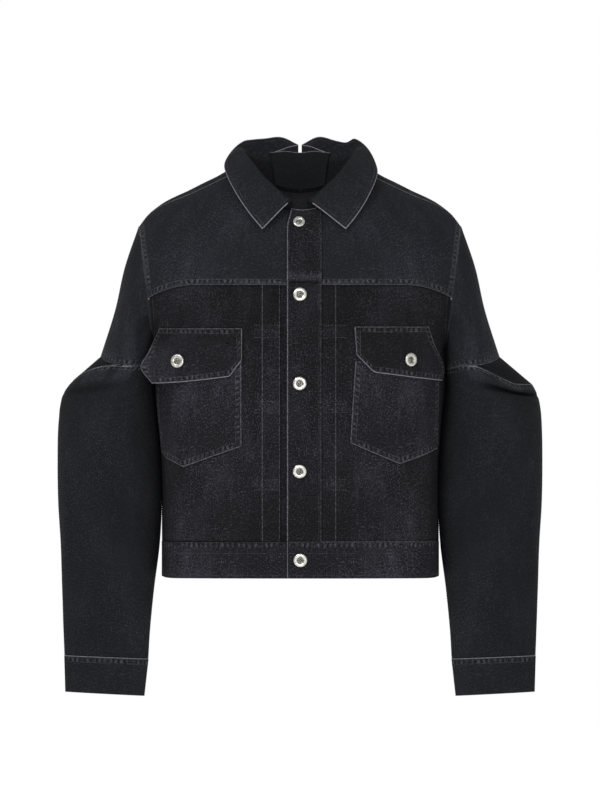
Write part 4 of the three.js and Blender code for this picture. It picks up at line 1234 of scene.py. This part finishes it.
def pleat_ply(side, name):
    """The ply of the inverted pleat that shows above the underlay, with its fold at the outer end."""
    def place(share, rise):
        turn = mix(PLY["from"], 1, share)
        across = mix(PLY["low"], mix(PLY["fold"], PLY["slit"], share ** 1.6), rise)
        direction = collar_direction(side, turn, across)
        return collar_point(side, turn, across) - direction * PLY["off"], -direction

    sew_panel(f"pleat_ply_{name}", lines(42, 3, [2]), lines(22, 2.5, [-1]), place, "", {"T": 0.7, "L": 0.5},
              thick=PLY["wall"], stands_for=False)


collars = {side: collar_half(side, name) for side, name in ((-1, "right"), (1, "left"))}
# The underlay wears the darker denim: painted shade in the recess behind the pleat.
sew_panel("collar_underlay", lines(100, 3.2), [-0.06] + lines(64, 3.2, [-1]), underlay_place, "", {"T": 0.6},
          cloth=shaded_underlay_denim)
pleat_ply(-1, "right")
pleat_ply(1, "left")

# Buttons
# Metal jeans buttons pressed from sheet: a rolled ring round a dished centre with a dimple, tacked
# through the cloth by a nail from behind.
FRONT_BUTTONS = ((1, -1.5, -57, 8.9), (2, 0, -160, 10), (3, -0.5, -288, 10), (4, -0.5, -415, 10),
                 (5, 0.5, -543.5, 10))
FLAP_BUTTONS = {-1: ("right", 175, -256), 1: ("left", 156.5, -254)}
BUTTON_SEAT = 0.35
BUTTON_PROFILE = (
    (0.0, 0.0), (8.6, 0.0), (9.5, 0.4), (10.0, 1.2), (9.9, 2.1), (9.4, 2.8), (8.4, 3.25), (7.0, 3.4),
    (5.8, 3.3), (4.9, 2.9), (4.3, 2.2), (3.9, 1.3), (3.3, 1.0), (2.4, 1.05), (1.7, 1.5), (1.2, 2.1),
    (0.6, 2.35), (0.0, 2.4),
)
DISH = 4.9

metal = bpy.data.materials.new("button_metal")
metal.use_nodes = True
metal_surface = metal.node_tree.nodes["Principled BSDF"]
metal_surface.inputs["Metallic"].default_value = 1.0
on_metal = Shade(metal.node_tree)
metal_place = on_metal.node("ShaderNodeTexCoord", {}, out=3)
tarnish = on_metal.node("ShaderNodeTexNoise", {"Vector": metal_place, "Scale": 420.0, "Detail": 3.0})
dish = on_metal.node("ShaderNodeAttribute", {}, out=2, attribute_name="dish")
# Mottled tarnish, and painted shade in the dished centre.
tarnish_and_dish_shade = tarnish.fade(0.42, 0.66) * 0.5 + dish * 0.7
tarnish_and_dish_shade = tarnish_and_dish_shade.sum("MINIMUM", tarnish_and_dish_shade, 1.0)
metal_colour = tarnish_and_dish_shade.blend((0.38, 0.37, 0.34, 1), (0.07, 0.068, 0.06, 1))
metal.node_tree.links.new(metal_colour.socket, metal_surface.inputs["Base Color"])
metal.node_tree.links.new((tarnish_and_dish_shade * 0.2 + 0.24).socket, metal_surface.inputs["Roughness"])


def seat_button(node, radius, surface, x, z, stand):
    step = 3
    point = surface(x, z)
    across = surface(x + step, z) - surface(x - step, z)
    up = surface(x, z + step) - surface(x, z - step)
    facing = across.cross(up).normalized()
    pressed = bmesh.new()
    pressed.verts.layers.float.new("dish")
    size = radius / 10 * MM
    ring = [pressed.verts.new((out * size, 0, high * size)) for out, high in BUTTON_PROFILE]
    line = [pressed.edges.new(pair) for pair in zip(ring, ring[1:])]
    bmesh.ops.spin(pressed, geom=ring + line, cent=(0, 0, 0), axis=(0, 0, 1), angle=2 * math.pi, steps=40,
                   use_duplicate=False)
    bmesh.ops.remove_doubles(pressed, verts=pressed.verts, dist=0.00001)
    bmesh.ops.recalc_face_normals(pressed, faces=pressed.faces)
    dished = pressed.verts.layers.float["dish"]
    for vert in pressed.verts:
        vert[dished] = 1.0 if vert.co.xy.length < DISH * size else 0.0
    for face in pressed.faces:
        face.smooth = True
    seat = point + facing * (stand + BUTTON_SEAT)
    turn = facing.to_track_quat("Z", "Y").to_matrix().to_4x4()
    bmesh.ops.transform(pressed, verts=pressed.verts, matrix=Matrix.Translation(seat * MM) @ turn)
    mesh = bpy.data.meshes.new(f"{node}_metal")
    pressed.to_mesh(mesh)
    pressed.free()
    mesh.materials.append(metal)
    button = bpy.data.objects.new(f"{node}_metal", mesh)
    bpy.context.collection.objects.link(button)
    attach(button, "root")
    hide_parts(node)


for number, x, z, radius in FRONT_BUTTONS:
    stand = CLOTH if z < WAIST_SEAM else LAP_GAP + DOUBLED
    seat_button(f"front_button_{number}", radius, front_point, x, z, stand)
for side, (name, distance, z) in FLAP_BUTTONS.items():
    seat_button(f"flap_button_{name}", 10, lambda x, z: flap_point(side, abs(x), z), side * distance, z,
                FLAP_STAND["rim"] + CLOTH)

# Stitching
# Lockstitch in thread of the cloth's own colour, faded a little: two rows along each felled seam and
# pocket edge, one inside the collar's edge, and bars across the pleats that hold them down.
STITCH = {"pitch": 3.3, "long": 2.5, "wide": 0.75, "high": 0.6}
thread = bpy.data.materials.new("thread")
thread.use_nodes = True
thread_surface = thread.node_tree.nodes["Principled BSDF"]
on_thread = Shade(thread.node_tree)
thread_place = on_thread.node("ShaderNodeTexCoord", {}, out=3)
thread_fade = on_thread.node("ShaderNodeTexNoise", {"Vector": thread_place, "Scale": 60.0, "Detail": 2.0})
thread_colour = thread_fade.fade(0.35, 0.65).blend(grey(0.014), grey(0.05, 1.0, 1.1))
thread.node_tree.links.new(thread_colour.socket, thread_surface.inputs["Base Color"])
thread_surface.inputs["Roughness"].default_value = 0.8
thread_surface.inputs["Specular IOR Level"].default_value = 0.1

one_stitch = bmesh.new()
bmesh.ops.create_uvsphere(one_stitch, u_segments=5, v_segments=3, radius=0.5)
bmesh.ops.rotate(one_stitch, verts=one_stitch.verts, matrix=Matrix.Rotation(math.radians(90), 3, "Y"))
bmesh.ops.scale(one_stitch, verts=one_stitch.verts,
                vec=(STITCH["long"] * MM, STITCH["wide"] * MM, STITCH["high"] * MM))
stitch_mesh = bpy.data.meshes.new("one_stitch")
one_stitch.to_mesh(stitch_mesh)
one_stitch.free()


def row_inside(panel, edge, inset, start=0.0, end=1.0):
    """Points and outward directions along a line at this distance inside an edge of a panel."""
    sideways = edge in "LR"
    count, deep = (panel["rows"], panel["columns"]) if sideways else (panel["columns"], panel["rows"])
    lengths = panel["right"] if sideways else panel["above"]
    found = []
    for step in range(math.floor(start * (count - 1)), math.ceil(end * (count - 1)) + 1):
        keys = [(index, step) if sideways else (step, index) for index in range(deep)]
        full = lengths[keys[-1]]
        target = inset if edge in "LB" else full - inset
        for low, high in zip(keys, keys[1:]):
            if lengths[low] <= target <= lengths[high]:
                share = (target - lengths[low]) / max(lengths[high] - lengths[low], 1e-6)
                spots, outs = panel["spots"], panel["outs"]
                found.append((spots[low].lerp(spots[high], share), outs[low].lerp(outs[high], share)))
                break
    return found


def sew(name, rows):
    """One joined piece of all the stitches along these rows."""
    joined = bmesh.new()
    for row in rows:
        wait = STITCH["pitch"] / 2
        for (point, out), (ahead, _) in zip(row, row[1:]):
            step = ahead - point
            length = step.length
            while wait < length:
                onward = step.normalized()
                up = (out - onward * out.dot(onward)).normalized()
                turn = Matrix((onward, up.cross(onward), up)).transposed().to_4x4()
                where = point + onward * wait + up * 0.08
                copy = stitch_mesh.copy()
                copy.transform(Matrix.Translation(where * MM) @ turn)
                joined.from_mesh(copy)
                bpy.data.meshes.remove(copy)
                wait += STITCH["pitch"]
            wait -= length
    for face in joined.faces:
        face.smooth = True
    mesh = bpy.data.meshes.new(name)
    joined.to_mesh(mesh)
    joined.free()
    mesh.materials.append(thread)
    stitches = bpy.data.objects.new(name, mesh)
    bpy.context.collection.objects.link(stitches)
    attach(stitches, "root")


def rows_inside(panel, table):
    return [row_inside(panel, edge, inset) for edges, insets in table for edge in edges for inset in insets]


# Bars across the pleats: heights of each pair of rows, and how far from the centre line they run
BARS = {"levels": (-204, -222, -314, -330, -427, -442), "from": {-1: 28, 1: 30}, "to": 68}


def bar_rows(side):
    found = []
    for level in BARS["levels"]:
        row = []
        for step in range(12):
            distance = mix(BARS["from"][side], BARS["to"], step / 11)
            point = front_point(side * distance, level)
            out = body_outward(point)
            row.append((point + out * pleat_raise(side, distance), out))
        found.append(row)
    return found


for side, name in ((-1, "right"), (1, "left")):
    sew(f"stitches_front_{name}",
        rows_inside(yokes[side], (("B", (1.8, 8.2)), ("R", (1.8, 9.6))))
        + [row_inside(fronts[side], "R", inset, 0.72) for inset in (1.8, 9.6)] + bar_rows(side))
    sew(f"stitches_pocket_{name}",
        rows_inside(pockets[side], (("LRB", (1.9, 8.4)),))
        + rows_inside(flaps[side], (("T", (1.4, 7.6)), ("LRB", (1.9, 8.2)))))
    sew(f"stitches_collar_{name}", rows_inside(collars[side], (("LT", (5.5,)),)))
    sew(f"stitches_sleeve_{name}",
        [row for half in ("front", "back") for row in
         rows_inside(sleeves[side]["upper", half], (("T", (2.0,)), ("B", (1.6,))))
         + rows_inside(sleeves[side]["lower", half], (("B", (2.0, 8.5)),))]
        + rows_inside(sleeves[side]["upper", "back"], (("LR", (1.8, 8.2)),))
        + rows_inside(sleeves[side]["lower", "back"], (("LR", (1.8, 8.2)),))
        + rows_inside(cuffs[side], (("B", (1.5, 8.4)),)))
sew("stitches_placket", rows_inside(placket, (("R", (3.4,)), ("L", (2.0,)))))
sew("stitches_waistband", [row for band in waistbands.values()
                           for row in rows_inside(band, (("T", (1.8, 17.5)), ("B", (5.0,))))])
sew("stitches_back", rows_inside(back_yoke, (("B", (1.8, 8.2)), ("LR", (1.8, 9.6)), ("T", (2.4, 8.0))))
    + rows_inside(back, (("LR", (1.8, 8.4)),)))
bpy.data.meshes.remove(stitch_mesh)

boxes = {"cad": cad_box, "visual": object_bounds()}
{name: [list(corner) for corner in box] for name, box in boxes.items()}
